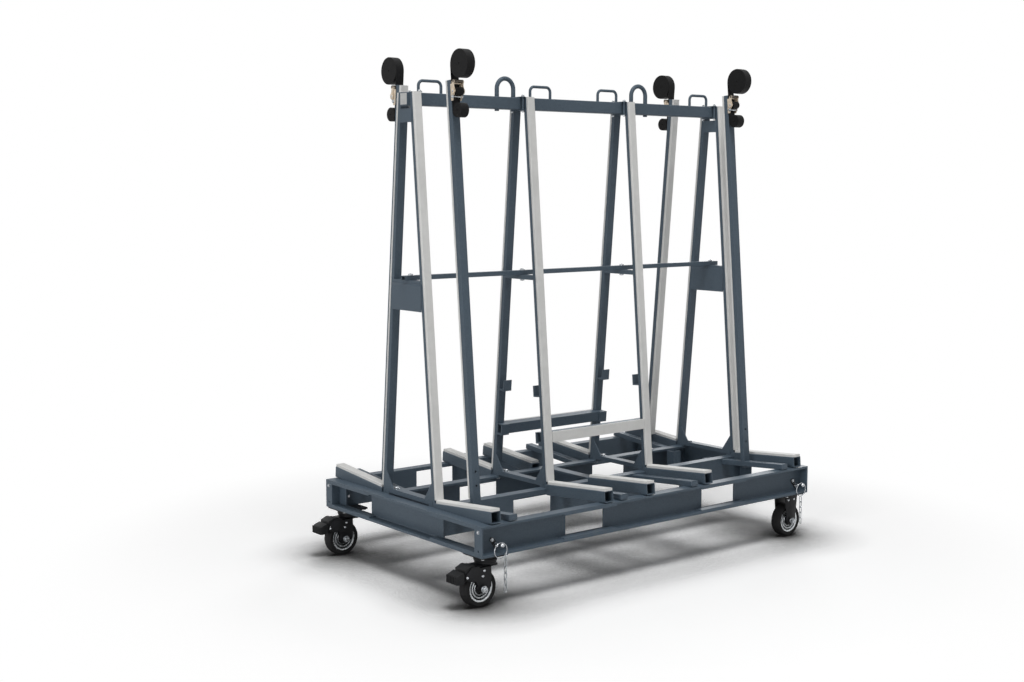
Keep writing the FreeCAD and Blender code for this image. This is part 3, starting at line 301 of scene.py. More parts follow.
# Modelling steps. Points closer than WELD millimetres merge, edges flatter than SMOOTH_ANGLE degrees
# are shaded smooth, and those sharper than SHARP_ANGLE are eased
WELD = 0.005
SMOOTH_ANGLE = 35
SHARP_ANGLE = 50


def fresh():
    """Object mode with nothing selected."""
    if bpy.context.object and bpy.context.object.mode != "OBJECT":
        bpy.ops.object.mode_set(mode="OBJECT")
    bpy.ops.object.select_all(action="DESELECT")


def drawn(name, points, shut=True):
    """Outline drawn point by point from one vertex, in edit mode with all of it selected."""
    fresh()
    bpy.ops.mesh.primitive_plane_add(size=MM)
    piece = bpy.context.active_object
    piece.name = name
    bpy.ops.object.mode_set(mode="EDIT")
    bpy.ops.mesh.merge(type="CENTER")
    bpy.ops.transform.translate(value=Vector(points[0]) * MM)
    path = list(points) + ([points[0]] if shut else [])
    for here, there in zip(path, path[1:]):
        step = (Vector(there) - Vector(here)) * MM
        bpy.ops.mesh.extrude_vertices_move(TRANSFORM_OT_translate={"value": step})
    bpy.ops.mesh.select_all(action="SELECT")
    bpy.ops.mesh.remove_doubles(threshold=WELD * MM)
    return piece


def closed(piece, angle=SMOOTH_ANGLE):
    """Doubles merged, faces outwards, smooth over shallow edges."""
    bpy.ops.mesh.select_all(action="SELECT")
    bpy.ops.mesh.remove_doubles(threshold=WELD * MM)
    bpy.ops.mesh.normals_make_consistent(inside=False)
    bpy.ops.object.mode_set(mode="OBJECT")
    bpy.ops.object.shade_smooth_by_angle(angle=math.radians(angle))
    return piece


def eased(width, segments=2):
    """Sharp edges of the piece in edit mode eased by a small bevel."""
    bpy.ops.mesh.select_mode(type="EDGE")
    bpy.ops.mesh.select_all(action="DESELECT")
    bpy.ops.mesh.edges_select_sharp(sharpness=math.radians(SHARP_ANGLE))
    bpy.ops.mesh.bevel(offset=width * MM, segments=segments, affect="EDGES", clamp_overlap=True)
    bpy.ops.mesh.select_mode(type="VERT")


def turned(name, outline, steps=48, shut=True):
    """Ring or knob spun about the Y axis from (radius, along) points."""
    piece = drawn(name, [(r, a, 0) for r, a in outline], shut)
    bpy.ops.mesh.spin(steps=steps, angle=math.tau, center=(0, 0, 0), axis=(0, 1, 0))
    return closed(piece)


def oblong(back, front, low, high):
    """Corners of a rectangle, in order."""
    return [(back, low), (front, low), (front, high), (back, high)]


def pressed(name, outline, low, high, corner=0.0, edge=0.6):
    """Plate cut from an (along, up) outline, lying between two depths across."""
    piece = drawn(name, [(a, low, b) for a, b in outline])
    bpy.ops.mesh.edge_face_add()
    if corner:
        bpy.ops.mesh.bevel(offset=corner * MM, segments=5, affect="VERTICES", clamp_overlap=True)
        bpy.ops.mesh.select_all(action="SELECT")
    bpy.ops.mesh.extrude_region_move(TRANSFORM_OT_translate={"value": (0, (high - low) * MM, 0)})
    eased(edge)
    return closed(piece)


def block(name, low, high, edge=0.8):
    """Eased block between two corners."""
    fresh()
    middle = (Vector(low) + Vector(high)) / 2 * MM
    bpy.ops.mesh.primitive_cube_add(size=1)
    piece = bpy.context.active_object
    piece.name = name
    size = (Vector(high) - Vector(low)) * MM
    piece.data.transform(Matrix.Translation(middle) @ Matrix.Diagonal((*size, 1)))
    bpy.ops.object.mode_set(mode="EDIT")
    eased(edge)
    return closed(piece)


def moved(piece, matrix):
    """Place of a piece put into its mesh."""
    piece.data.transform(matrix)
    if matrix.determinant() < 0:
        piece.data.flip_normals()
    piece.data.update()
    return piece


def again(piece, name, matrix):
    """Copy with its own mesh, put in its place."""
    made = piece.copy()
    made.data = piece.data.copy()
    made.name = name
    bpy.context.scene.collection.objects.link(made)
    return moved(made, matrix)


def joined(name, parts):
    """Parts of one piece made one mesh."""
    fresh()
    for part in parts:
        part.select_set(True)
    bpy.context.view_layer.objects.active = parts[0]
    bpy.ops.object.join()
    parts[0].name = name
    return parts[0]


def dressed(piece, material, body, slot, *nodes):
    """Finish, body and the CAD nodes that the piece stands for. The slot is not used."""
    piece.data.materials.clear()
    piece.data.materials.append(material)
    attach(piece, body)
    if nodes:
        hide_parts(*nodes)
    return piece


def put_away(*patterns):
    """Removes patterns that have been copied to their places."""
    for pattern in patterns:
        bpy.data.objects.remove(pattern)


# Turns and places
FLIP = Matrix.Diagonal((1, -1, 1, 1))
TO_RIGHT = Matrix.Rotation(-math.pi / 2, 4, "Z")
TO_LEFT = Matrix.Rotation(math.pi / 2, 4, "Z")
TO_TOP = Matrix.Rotation(math.pi / 2, 4, "X")
TO_BOTTOM = Matrix.Rotation(-math.pi / 2, 4, "X")
TO_FRONT = Matrix.Rotation(math.pi, 4, "Z")


def at(x, y, z):
    """Place in the trolley's own millimetres."""
    return Matrix.Translation(Vector((x + SHIFT, y, z)) * MM)


def shifted(x, y, z):
    """Step in millimetres."""
    return Matrix.Translation(Vector((x, y, z)) * MM)


def sided(matrix, end):
    """The same place at the front or, mirrored, at the rear."""
    return matrix if end == "front" else FLIP @ matrix


def leaning(x, end):
    """Place of what is drawn as (outward, across, up) on the leaning slab face."""
    return sided(at(x, -SLAB_LINE, SLAB_Z) @ Matrix.Rotation(-LEAN, 4, "X") @ TO_RIGHT, end)


# Fasteners, seated at zero and rising along Y; sizes in millimetres or shares of the head's radius
WASHER = 1
WASHER_SHARE = 1.15
WASHER_EDGE = 0.3
WASHER_INSET = 0.4
THREAD_SHARE = 0.5
CHAMFER_SHARE = 0.07
THREAD_STRAIGHT = 1
THREAD_OUT = 1.6
THREAD_TIP_SHARE = 0.8
HEAD_SMOOTH = 25
BAR_EASE = 0.8


def hex_head(radius, tall):
    """Chamfered hexagon on its washer, with the thread's end standing out."""
    fresh()
    bpy.ops.mesh.primitive_cylinder_add(vertices=6, radius=radius * MM, depth=(tall - WASHER) * MM)
    head = bpy.context.active_object
    moved(head, shifted(0, (tall + WASHER) / 2, 0) @ TO_TOP)
    bpy.ops.object.mode_set(mode="EDIT")
    eased(radius * CHAMFER_SHARE, 1)
    closed(head, HEAD_SMOOTH)
    wide = radius * WASHER_SHARE
    washer = turned("washer", [(0, 0), (wide - WASHER_INSET, 0), (wide, WASHER_EDGE),
                               (wide, WASHER - WASHER_EDGE), (wide - WASHER_INSET, WASHER),
                               (0, WASHER)], 24, False)
    thread = radius * THREAD_SHARE
    low, high, tip = tall - THREAD_STRAIGHT, tall + THREAD_STRAIGHT, tall + THREAD_OUT
    end = turned("thread", [(0, low), (thread, low), (thread, high), (thread * THREAD_TIP_SHARE, tip),
                            (0, tip)], 18, False)
    return joined("hex_head", [head, washer, end])


def dome(radius, tall):
    """Rivet head."""
    arc = [(radius * math.cos(a), tall * math.sin(a)) for a in (0, 0.35, 0.7, 1.05, 1.35)]
    return turned("rivet", [(0, 0)] + arc + [(0, tall)], 20, False)


def bar(radius, low, high, steps=24):
    """Round bar along Y with eased ends."""
    edge = min(BAR_EASE, radius / 4)
    return turned("bar", [(0, low), (radius - edge, low), (radius, low + edge), (radius, high - edge),
                          (radius - edge, high), (0, high)], steps, False)


# Bolts with washers on the frame, and the clamps that hold the top beam down; sizes in millimetres
BOLT_RADIUS = 11
BOLT_TALL = 7
SMALL_RADIUS = 7
SMALL_TALL = 4
MID_RAIL_TOP = 1325
MID_TIE_UNDER = 1285
TIE_BOLT_Y = 121
TIE_TOP = 373
FLANGE_BOLT_Y = 179
FLANGE_UNDER = 337
CLAMP_UNDER = 2042
CLAMP_TOP = 2104
CLAMP_THICK = 4
CLAMP_HALF = 8
CLAMP_REACH = 38
CLAMP_STUD = 5
CLAMP_EASE = 0.8
END_FACE = 1000
CAP_BOLT_Y = 575
CAP_BOLT_Z = 321


def frame_fasteners():
    large = hex_head(BOLT_RADIUS, BOLT_TALL)
    small = hex_head(SMALL_RADIUS, BOLT_TALL)
    low = hex_head(SMALL_RADIUS, SMALL_TALL)
    heads = []
    for x in FRAME_LINES:
        heads.append(again(large, "bolt", at(x, 0, MID_RAIL_TOP) @ TO_TOP))
        heads.append(again(large, "bolt", at(x, 0, MID_TIE_UNDER) @ TO_BOTTOM))
        for way in (-1, 1):
            heads.append(again(large, "bolt", at(x, way * TIE_BOLT_Y, TIE_TOP) @ TO_TOP))
            heads.append(again(large, "bolt", at(x, way * FLANGE_BOLT_Y, FLANGE_UNDER) @ TO_BOTTOM))
    for x in CLAMP_LINES:
        for y in (-CLAMP_REACH, CLAMP_REACH):
            heads.append(again(small, "bolt", at(x, y, CLAMP_TOP) @ TO_TOP))
            heads.append(again(small, "bolt", at(x, y, CLAMP_UNDER) @ TO_BOTTOM))
    for y in (-CAP_BOLT_Y, CAP_BOLT_Y):
        heads.append(again(low, "bolt", at(END_FACE, y, CAP_BOLT_Z) @ TO_RIGHT))
        heads.append(again(low, "bolt", at(-END_FACE, y, CAP_BOLT_Z) @ TO_LEFT))
    put_away(large, small, low)
    dressed(joined("frame_bolt_heads", heads), ZINC, "frame", "bright_zinc", "frame_bolts")
    reach = CLAMP_REACH + CLAMP_HALF
    clamp = pressed("clamp", oblong(-reach, reach, 0, CLAMP_THICK), -CLAMP_HALF, CLAMP_HALF, edge=CLAMP_EASE)
    stud = bar(CLAMP_STUD, 0, CLAMP_TOP - CLAMP_UNDER - CLAMP_THICK * 2)
    clamps = []
    for x in CLAMP_LINES:
        for z in (CLAMP_UNDER, CLAMP_TOP - CLAMP_THICK):
            clamps.append(again(clamp, "clamp", at(x, 0, z) @ TO_RIGHT))
        for y in (-CLAMP_REACH, CLAMP_REACH):
            clamps.append(again(stud, "clamp", at(x, y, CLAMP_UNDER + CLAMP_THICK) @ TO_TOP))
    put_away(clamp, stud)
    dressed(joined("beam_clamps", clamps), COAT, "frame", "blue_grey_coat", "frame_bolts")


# Closed outer ends of the post rails, and the sign plates' upper edges laid against their ties:
# strips between two corners in millimetres, the rail's as (outward, across, up)
RAIL_CAP = ((377, -17.6, -59.6), (382.4, 17.6, -39.4))
SIGN_EDGE = ((-23.9, -110, 1281), (-20.1, 110, 1291))
STRIP_EASE = 0.4


def closures():
    cap = block("rail_cap", *RAIL_CAP, STRIP_EASE)
    caps = [again(cap, "rail_cap", leaning(x, end)) for end in ENDS for x in RAIL_LINES]
    dressed(joined("post_rail_caps", caps), COAT, "frame", "blue_grey_coat")
    edge = block("sign_edge", *SIGN_EDGE, STRIP_EASE)
    edges = [again(edge, "sign_edge", at(x, 0, 0)) for x in (FRAME_LINES[0], FRAME_LINES[-1])]
    dressed(joined("sign_plate_edges", edges), COAT, "frame", "blue_grey_coat")
    put_away(cap, edge)


# Wheels: solid rubber tyre on a rim pressed in three bands, with a black dust cover on each side of the hub.
# The outlines of one side are (radius, across) points in millimetres
TYRE_SIDE = (
    (58.2, 23), (61, 24.6), (65.5, 25.2), (66.2, 24.6), (67.4, 24.6), (68.1, 25.2), (71, 25.6), (74, 24.6),
    (76.6, 22.4), (78.6, 18), (79.6, 12.5), (80, 6))
RIM_SIDE = (
    (7, 29), (10.5, 29), (11.5, 28), (12.5, 26), (12.5, 13), (22, 12.6), (24, 14), (25.5, 18), (27.5, 19.4),
    (30, 19), (32, 16), (33.2, 11.6), (34.6, 11.4), (36, 15.5), (38, 20.4), (41, 21), (44, 20), (45.6, 16),
    (46.4, 12.4), (47.6, 12.2), (49, 17), (50.5, 21.6), (53, 23), (57.6, 23), (58, 22.4))
COVER_RING = (
    (12.8, 12.9), (22.4, 12.9), (23.8, 13.8), (24, 15), (23.2, 16.4), (20.4, 17), (19.6, 24), (18, 26.6),
    (14, 27), (12.8, 26.6))
RIM_HALF = 23


def through(side):
    """Outline of one side carried through to the other."""
    return list(side) + [(r, -a) for r, a in reversed(side)]


def wheels():
    tyre = turned("tyre", through(TYRE_SIDE), 72)
    rim = turned("rim", through(RIM_SIDE), 64)
    depth = rim.data.attributes.new("press_depth", "FLOAT", "POINT")
    depth.data.foreach_set("value", [RIM_HALF - abs(vertex.co.y) / MM for vertex in rim.data.vertices])
    cover = turned("dust_cover", COVER_RING, 48)
    covers = joined("dust_covers", [cover, again(cover, "dust_cover", FLIP)])
    for end, hand in CORNERS:
        tag = "%s_%s" % (end, hand)
        x = -CASTER_X - TRAIL if hand == "left" else CASTER_X
        place = sided(at(x, -CASTER_Y, WHEEL), end)
        body = "wheel_" + tag
        dressed(again(tyre, "solid_tyre_" + tag, place), TYRE_RUBBER, body, "tyre_rubber", "tyre_" + tag)
        dressed(again(rim, "pressed_rim_" + tag, place), RIM_ZINC, body, "rim_zinc", "rim_" + tag)
        dressed(again(covers, "hub_covers_" + tag, place), BLACK_COAT, body, "black_coat", "rim_" + tag)
    put_away(tyre, rim, covers)


# Forks: pressed side plates under a crown, with rivets and a threaded axle through both plates.
# Side outlines and rivets are shares of the wheel's radius, other sizes are in millimetres
FORK_IN = 31
FORK_OUT = 36
FORK_ROUND = 5
FORK_EASE = 1.2
SWIVEL_SHARES = (
    (0.05, 2.2), (0.05, 1.08), (-0.12, 0.86), (-0.36, 0.83), (-0.62, 0.83), (-0.73, 0.94), (-0.78, 1.2),
    (-0.92, 1.42), (-1.3, 1.5), (-1.56, 1.6), (-1.56, 1.87), (-1.2, 2.2))
SWIVEL_RIVET_SHARES = ((-0.39, 1.93), (-0.49, 1.66), (-1.46, 1.725))
RIGID_SHARES = (
    (0.55, 2.62), (0.46, 1.72), (0.375, 1.16), (0.28, 0.8), (0, 0.7), (-0.28, 0.8), (-0.375, 1.16),
    (-0.46, 1.72), (-0.55, 2.62))
RIGID_RIVET_SHARES = ((0.25, 2.3), (-0.25, 2.3))
RIVET_RADIUS = 6
RIVET_TALL = 2.8
AXLE_CORE = 6
AXLE_OUT = 46
AXLE_THREAD = 9
THREAD_DEPTH = 1
THREAD_PITCH = 2
AXLE_NUT = 13
AXLE_NUT_TALL = 10
CROWN_THICK = 9
CROWN_EASE = 1.5
SWIVEL_CROWN = oblong(-62.4, 40, -FORK_OUT, FORK_OUT)
SWIVEL_CROWN_TOP = 176.5
SWIVEL_CROWN_ROUND = 9
SWIVEL_HEAD = (
    (0, 176), (36, 176), (43, 177.5), (46, 181), (46.6, 188), (50, 192), (50, 199.4), (48.6, 200.2),
    (46.6, 202), (46.6, 203.6), (48.6, 205.2), (50, 206), (50, 208.6), (48, 210.6), (0, 210.6))
BRAKE_PIN = (-116.8, 0, 138)
BRAKE_PIN_RADIUS = 4
BRAKE_PIN_HALF = 38
RIGID_CROWN = oblong(-44, 44, -FORK_OUT, FORK_OUT)
RIGID_CROWN_ROUND = 6
RIGID_PLATE_DROP = 5


def fork_plates(shares):
    outline = [(a * WHEEL, b * WHEEL) for a, b in shares]
    plate = pressed("fork_plate", outline, -FORK_OUT, -FORK_IN, FORK_ROUND, FORK_EASE)
    return [plate, again(plate, "fork_plate", FLIP)]


def axle_ends(x, rivet_shares):
    """Axle with its thread and nuts, and the bright rivets on the outside of the fork."""
    nut = hex_head(AXLE_NUT, AXLE_NUT_TALL)
    outline = [(0, FORK_OUT)]
    for along in range(FORK_OUT, AXLE_OUT, THREAD_PITCH):
        outline += [(AXLE_THREAD, along), (AXLE_THREAD - THREAD_DEPTH, along + THREAD_PITCH / 2)]
    thread = turned("thread", outline + [(AXLE_THREAD, AXLE_OUT), (0, AXLE_OUT)], 24, False)
    ends = [again(nut, "axle_nut", shifted(x, -AXLE_OUT, WHEEL) @ TO_FRONT),
            again(nut, "axle_nut", shifted(x, AXLE_OUT, WHEEL)),
            again(thread, "axle_thread", shifted(x, 0, WHEEL) @ FLIP),
            again(thread, "axle_thread", shifted(x, 0, WHEEL)),
            moved(bar(AXLE_CORE, -FORK_OUT, FORK_OUT), shifted(x, 0, WHEEL))]
    rivet = dome(RIVET_RADIUS, RIVET_TALL)
    for a, b in rivet_shares:
        ends.append(again(rivet, "rivet", shifted(a * WHEEL, -FORK_OUT, b * WHEEL) @ TO_FRONT))
        ends.append(again(rivet, "rivet", shifted(a * WHEEL, FORK_OUT, b * WHEEL)))
    put_away(thread, nut, rivet)
    return joined("axle_bolt", ends)


def swivel_casters():
    race = moved(turned("swivel_head", SWIVEL_HEAD, 64, False), TO_TOP)
    crown = pressed("crown", SWIVEL_CROWN, SWIVEL_CROWN_TOP - CROWN_THICK, SWIVEL_CROWN_TOP,
                    SWIVEL_CROWN_ROUND, CROWN_EASE)
    moved(crown, TO_TOP)
    pin = moved(bar(BRAKE_PIN_RADIUS, -BRAKE_PIN_HALF, BRAKE_PIN_HALF), shifted(*BRAKE_PIN))
    fork = joined("swivel_fork", fork_plates(SWIVEL_SHARES) + [race, crown, pin])
    axle = axle_ends(-TRAIL, SWIVEL_RIVET_SHARES)
    for end in ENDS:
        place = sided(at(-CASTER_X, -CASTER_Y, 0), end)
        body = "swivel_" + end
        node = "swivel_fork_" + end
        dressed(again(fork, "caster_fork_" + end, place), BLACK_COAT, body, "black_coat", node)
        dressed(again(axle, "caster_axle_" + end, place), ZINC, body, "bright_zinc", node)
    put_away(fork, axle)


def rigid_casters():
    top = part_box("rigid_forks")[1].z / MM
    crown = pressed("crown", RIGID_CROWN, top - CROWN_THICK, top, RIGID_CROWN_ROUND, CROWN_EASE)
    moved(crown, TO_TOP)
    outline = [(a, min(b, (top - RIGID_PLATE_DROP) / WHEEL)) for a, b in RIGID_SHARES]
    fork = joined("rigid_fork", fork_plates(outline) + [crown])
    axle = axle_ends(0, RIGID_RIVET_SHARES)
    for end in ENDS:
        place = sided(at(CASTER_X, -CASTER_Y, 0), end)
        dressed(again(fork, "fixed_fork_" + end, place), BLACK_COAT, "frame", "black_coat", "rigid_forks")
        dressed(again(axle, "fixed_axle_" + end, place), ZINC, "frame", "bright_zinc", "rigid_forks")
    put_away(fork, axle)


# Brake pedals: a moulded lever under a cover, and past a groove the wider toe with ribs on its end.
# Side outlines are shares of the wheel's radius, other sizes are in millimetres
PEDAL_SHARES = (
    (-0.9, 2.26), (-1.25, 2.26), (-1.58, 2.11), (-1.6, 1.92), (-1.72, 1.9), (-1.72, 1.47), (-1.62, 1.47),
    (-1.4, 1.6), (-1.25, 1.775), (-0.9, 2.08))
COVER_SHARES = ((-1.1, 2.29), (-1.25, 2.29), (-1.6, 2.13), (-1.6, 1.89), (-1.215, 2.24), (-1.1, 2.24))
TOE_SHARES = ((-1.67, 2.04), (-2.06, 1.89), (-2.1, 1.82), (-2.1, 1.47), (-2.06, 1.44), (-1.67, 1.44))
PEDAL_HALF = 29.5
PEDAL_ROUND = 3
PEDAL_EASE = 1.6
COVER_HALF = 34
COVER_ROUND = 1.2
COVER_EASE = 0.6
TOE_HALF = 35
TOE_ROUND = 2.5
RIB_COUNT = 7
RIB_STEP = 11
RIB_HALF = 2.6
RIB_ENDS = 34.6
RIB_FRONT = -173
RIB_BACK = -167
RIB_LOW = 116.5
RIB_HIGH = 149
RIB_EASE = 0.7


def moulding(name, shares, half, corner, edge):
    """Part of the pedal across its width, from an outline in shares."""
    return pressed(name, [(a * WHEEL, b * WHEEL) for a, b in shares], -half, half, corner, edge)


def pedals():
    parts = [moulding("lever", PEDAL_SHARES, PEDAL_HALF, PEDAL_ROUND, PEDAL_EASE),
             moulding("toe", TOE_SHARES, TOE_HALF, TOE_ROUND, PEDAL_EASE),
             moulding("cover", COVER_SHARES, COVER_HALF, COVER_ROUND, COVER_EASE)]
    for step in range(RIB_COUNT):
        y = (step - (RIB_COUNT - 1) / 2) * RIB_STEP
        low = (RIB_FRONT, max(y - RIB_HALF, -RIB_ENDS), RIB_LOW)
        high = (RIB_BACK, min(y + RIB_HALF, RIB_ENDS), RIB_HIGH)
        parts.append(block("rib", low, high, RIB_EASE))
    pedal = joined("pedal", parts)
    for end in ENDS:
        place = sided(at(-CASTER_X, -CASTER_Y, 0), end)
        dressed(again(pedal, "foot_brake_" + end, place), PEDAL_PLASTIC, "pedal_" + end, "black_coat",
                "brake_pedal_" + end)
    put_away(pedal)


# Caster top plates with their bolts, and the oval seats of the pull pins; sizes in millimetres
PLATE_HALF = 70
PLATE_ROUND = 14
PLATE_EASE = 1
PLATE_UNDER = 211
PLATE_TOP = 217
PLATE_BOLT = 54
PLATE_NUT = 8
PLATE_NUT_TALL = 5
PIN_SHIFT = 20
SEAT_Y = -561
SEAT_Z = 262
SEAT_TURN = Matrix.Rotation(math.radians(51), 4, "Y")
SEAT_REACH = 18
SEAT_ROUND = 10
SEAT_THICK = 4


def caster_seats():
    square = oblong(-PLATE_HALF, PLATE_HALF, -PLATE_HALF, PLATE_HALF)
    plate = moved(pressed("top_plate", square, PLATE_UNDER, PLATE_TOP, PLATE_ROUND, PLATE_EASE), TO_TOP)
    nut = hex_head(PLATE_NUT, PLATE_NUT_TALL)
    half_round = [i * math.pi / 10 for i in range(11)]
    oval = [(SEAT_REACH + SEAT_ROUND * math.sin(a), -SEAT_ROUND * math.cos(a)) for a in half_round]
    oval += [(-a, -b) for a, b in oval]
    seat = moved(pressed("pin_seat", oval, 0, SEAT_THICK), SEAT_TURN)
    low = hex_head(SMALL_RADIUS, SMALL_TALL)
    plates = []
    seats = []
    heads = []
    for end in ENDS:
        for way in (-1, 1):
            place = sided(at(way * CASTER_X, -CASTER_Y, 0), end)
            plates.append(again(plate, "top_plate", place))
            for x, y in oblong(-PLATE_BOLT, PLATE_BOLT, -PLATE_BOLT, PLATE_BOLT):
                heads.append(again(nut, "plate_bolt", place @ shifted(x, y, PLATE_UNDER) @ TO_BOTTOM))
            pin = sided(at(way * CASTER_X + PIN_SHIFT, SEAT_Y, SEAT_Z), end)
            seats.append(again(seat, "pin_seat", pin))
            for x in (-SEAT_REACH, SEAT_REACH):
                heads.append(again(low, "seat_bolt", pin @ SEAT_TURN @ shifted(x, 0, 0) @ TO_FRONT))
    put_away(plate, nut, seat, low)
    dressed(joined("caster_top_plates", plates), BLACK_COAT, "frame", "black_coat", "caster_plates")
    dressed(joined("pull_pin_seats", seats), BLACK_COAT, "frame", "black_coat", "caster_plates")
    dressed(joined("caster_plate_bolts", heads), ZINC, "frame", "bright_zinc", "caster_plates")


# Straps: one band from the large roll down to the ratchet's spool, one from the ratchet to the small roll.
# A roll is its outer radius and height in millimetres, its turns, and the points in half a turn
SPOOL_RADIUS = 17
SPOOL_OUT = STRAP_OUT + SPOOL_RADIUS
SPOOL_UP = 1710
LARGE_ROLL = (59, 1818, 25, 16)
SPOOL_ROLL = (SPOOL_RADIUS, SPOOL_UP, 4, 12)
SMALL_ROLL = (30, 1631, 12, 14)
TAIL_TOP = 1690


def coil(roll, way):
    """Half turns of a band from its point nearest the post inwards, each pair a pitch tighter."""
    radius, up, turns, steps = roll
    points = []
    for half in range(turns * 2):
        reach = radius - STRAP_PITCH * half / 2
        middle = STRAP_OUT + radius + (STRAP_PITCH / 2 if half % 2 else 0)
        for step in range(steps):
            angle = math.pi + way * math.pi * (half + step / steps)
            points.append((middle + reach * math.cos(angle), up + reach * math.sin(angle)))
    return points + [(middle, up)]


def band(name, path):
    """Flat webbing along (outward, up) points, with a map of its length and width in millimetres."""
    piece = drawn(name, [(n, -STRAP_WIDE / 2, t) for n, t in path], False)
    bpy.ops.mesh.extrude_edges_move(TRANSFORM_OT_translate={"value": (0, STRAP_WIDE * MM, 0)})
    bpy.ops.object.mode_set(mode="OBJECT")
    tree = KDTree(len(path))
    run = [0.0]
    for here, there in zip(path, path[1:]):
        run.append(run[-1] + math.dist(here, there))
    for i, (n, t) in enumerate(path):
        tree.insert((n * MM, 0, t * MM), i)
    tree.balance()
    layer = piece.data.uv_layers.new(name="band_mm")
    for loop in piece.data.loops:
        spot = piece.data.vertices[loop.vertex_index].co
        near = tree.find((spot.x, 0, spot.z))[1]
        layer.data[loop.index].uv = (spot.y / MM, run[near])
    thick = piece.modifiers.new("thickness", "SOLIDIFY")
    thick.thickness = STRAP_THICK * MM
    thick.offset = 0
    bpy.ops.object.modifier_apply(modifier=thick.name)
    bpy.ops.object.shade_smooth_by_angle(angle=math.radians(SMOOTH_ANGLE))
    return piece


def straps():
    long_band = band("long_band", list(reversed(coil(LARGE_ROLL, -1))) + coil(SPOOL_ROLL, 1))
    short_band = band("short_band", [(STRAP_OUT, TAIL_TOP)] + coil(SMALL_ROLL, 1))
    for end, hand in CORNERS:
        tag = "%s_%s" % (end, hand)
        place = leaning(POST_X[hand], end)
        for pattern, name in ((long_band, "rolled_strap_"), (short_band, "tail_strap_")):
            dressed(again(pattern, name + tag, place), WEBBING, "post_" + tag, "webbing", "strap_" + tag)
    put_away(long_band, short_band)


# Ratchets: two cheeks on a back plate, toothed wheels on the spool pin, and the lever with its ribbed grip.
# Outlines are (outward, up) points and corners (outward, across, up), all in millimetres
CHEEK_SIDE = (
    (142, 1672), (157, 1672), (158.5, 1680), (163, 1692), (169.5, 1700), (172, 1710), (169.5, 1720),
    (163, 1728), (160, 1738), (160, 1742), (142, 1742))
CHEEK_IN = 20.6
CHEEK_OUT = 22.6
CHEEK_EASE = 0.5
BACK_FACE = 145
BACK_PLATE = ((142, -21.5, 1681), (BACK_FACE, 21.5, 1737))
BACK_EASE = 0.4
BACK_RIVET_HEIGHTS = (1690, 1728)
BACK_RIVET_Y = 13
BACK_RIVET = 4
BACK_RIVET_TALL = 1.6
TEETH = 14
TOOTH_TIP = 13.5
TOOTH_ROOT = 10.8
TOOTH_SHARES = ((0, TOOTH_TIP), (0.35, TOOTH_TIP), (0.55, TOOTH_ROOT), (0.95, TOOTH_ROOT))
TOOTHED_IN = 25.8
TOOTHED_OUT = 27.6
TOOTH_EASE = 0.25
SPOOL_PIN = 4.5
SPOOL_PIN_HALF = 29
ANCHOR_PIN = 4
ANCHOR_OUT = 156
ANCHOR_UP = 1688
LEVER_FOOT = 10
LEVER_FOOT_OUT = 167.75
LEVER_SIDE = (
    (175, 1719), (171, 1730), (171.5, 1740), (176, 1748), (175, 1752), (157, 1752), (156, 1740), (158, 1726))
LEVER_IN = 23.1
LEVER_OUT = 25.2
LEVER_EASE = 0.4
LEVER_WEB = ((157.4, -23.4, 1740), (160, 23.4, 1751))
WEB_EASE = 0.6
GRIP_SPOT = (167, 0, 1750.5)
GRIP_END = ((0, 26.2), (5.6, 26.2), (7, 24.6))
GRIP_RIDGE = 7
GRIP_GROOVE = 6.3
GROOVE_TOP = 1.1
GROOVE_FLOOR = 0.5
GROOVE_STEP = 4
GROOVE_COUNT = 11


def toothed_wheel():
    points = []
    for tooth in range(TEETH):
        for turn, reach in TOOTH_SHARES:
            angle = math.tau * (tooth + turn) / TEETH
            points.append((SPOOL_OUT + reach * math.cos(angle), SPOOL_UP + reach * math.sin(angle)))
    return pressed("toothed_wheel", points, TOOTHED_IN, TOOTHED_OUT, edge=TOOTH_EASE)


def ratchet_plates():
    cheek = pressed("cheek", CHEEK_SIDE, CHEEK_IN, CHEEK_OUT, edge=CHEEK_EASE)
    wheel = toothed_wheel()
    parts = [cheek, again(cheek, "cheek", FLIP), block("back_plate", *BACK_PLATE, BACK_EASE),
             wheel, again(wheel, "toothed_wheel", FLIP)]
    rivet = dome(BACK_RIVET, BACK_RIVET_TALL)
    for t in BACK_RIVET_HEIGHTS:
        for y in (-BACK_RIVET_Y, BACK_RIVET_Y):
            parts.append(again(rivet, "rivet", shifted(BACK_FACE, y, t) @ TO_RIGHT))
    put_away(rivet)
    return joined("ratchet_plates", parts)


def ratchet_pins():
    spool = moved(bar(SPOOL_PIN, -SPOOL_PIN_HALF, SPOOL_PIN_HALF), shifted(SPOOL_OUT, 0, SPOOL_UP))
    anchor = moved(bar(ANCHOR_PIN, -CHEEK_OUT, CHEEK_OUT), shifted(ANCHOR_OUT, 0, ANCHOR_UP))
    nut = hex_head(SMALL_RADIUS, SMALL_TALL)
    near = again(nut, "nut", shifted(ANCHOR_OUT, CHEEK_OUT, ANCHOR_UP))
    far = again(nut, "nut", shifted(ANCHOR_OUT, -CHEEK_OUT, ANCHOR_UP) @ TO_FRONT)
    put_away(nut)
    return joined("ratchet_pins", [spool, anchor, near, far])


def ratchet_lever():
    half_round = [math.pi * (1 + i / 10) for i in range(11)]
    foot = [(LEVER_FOOT_OUT + LEVER_FOOT * math.cos(a), SPOOL_UP + LEVER_FOOT * math.sin(a))
            for a in half_round]
    arm = pressed("arm", foot + list(LEVER_SIDE), LEVER_IN, LEVER_OUT, edge=LEVER_EASE)
    return joined("ratchet_lever", [arm, again(arm, "arm", FLIP), block("web", *LEVER_WEB, WEB_EASE)])


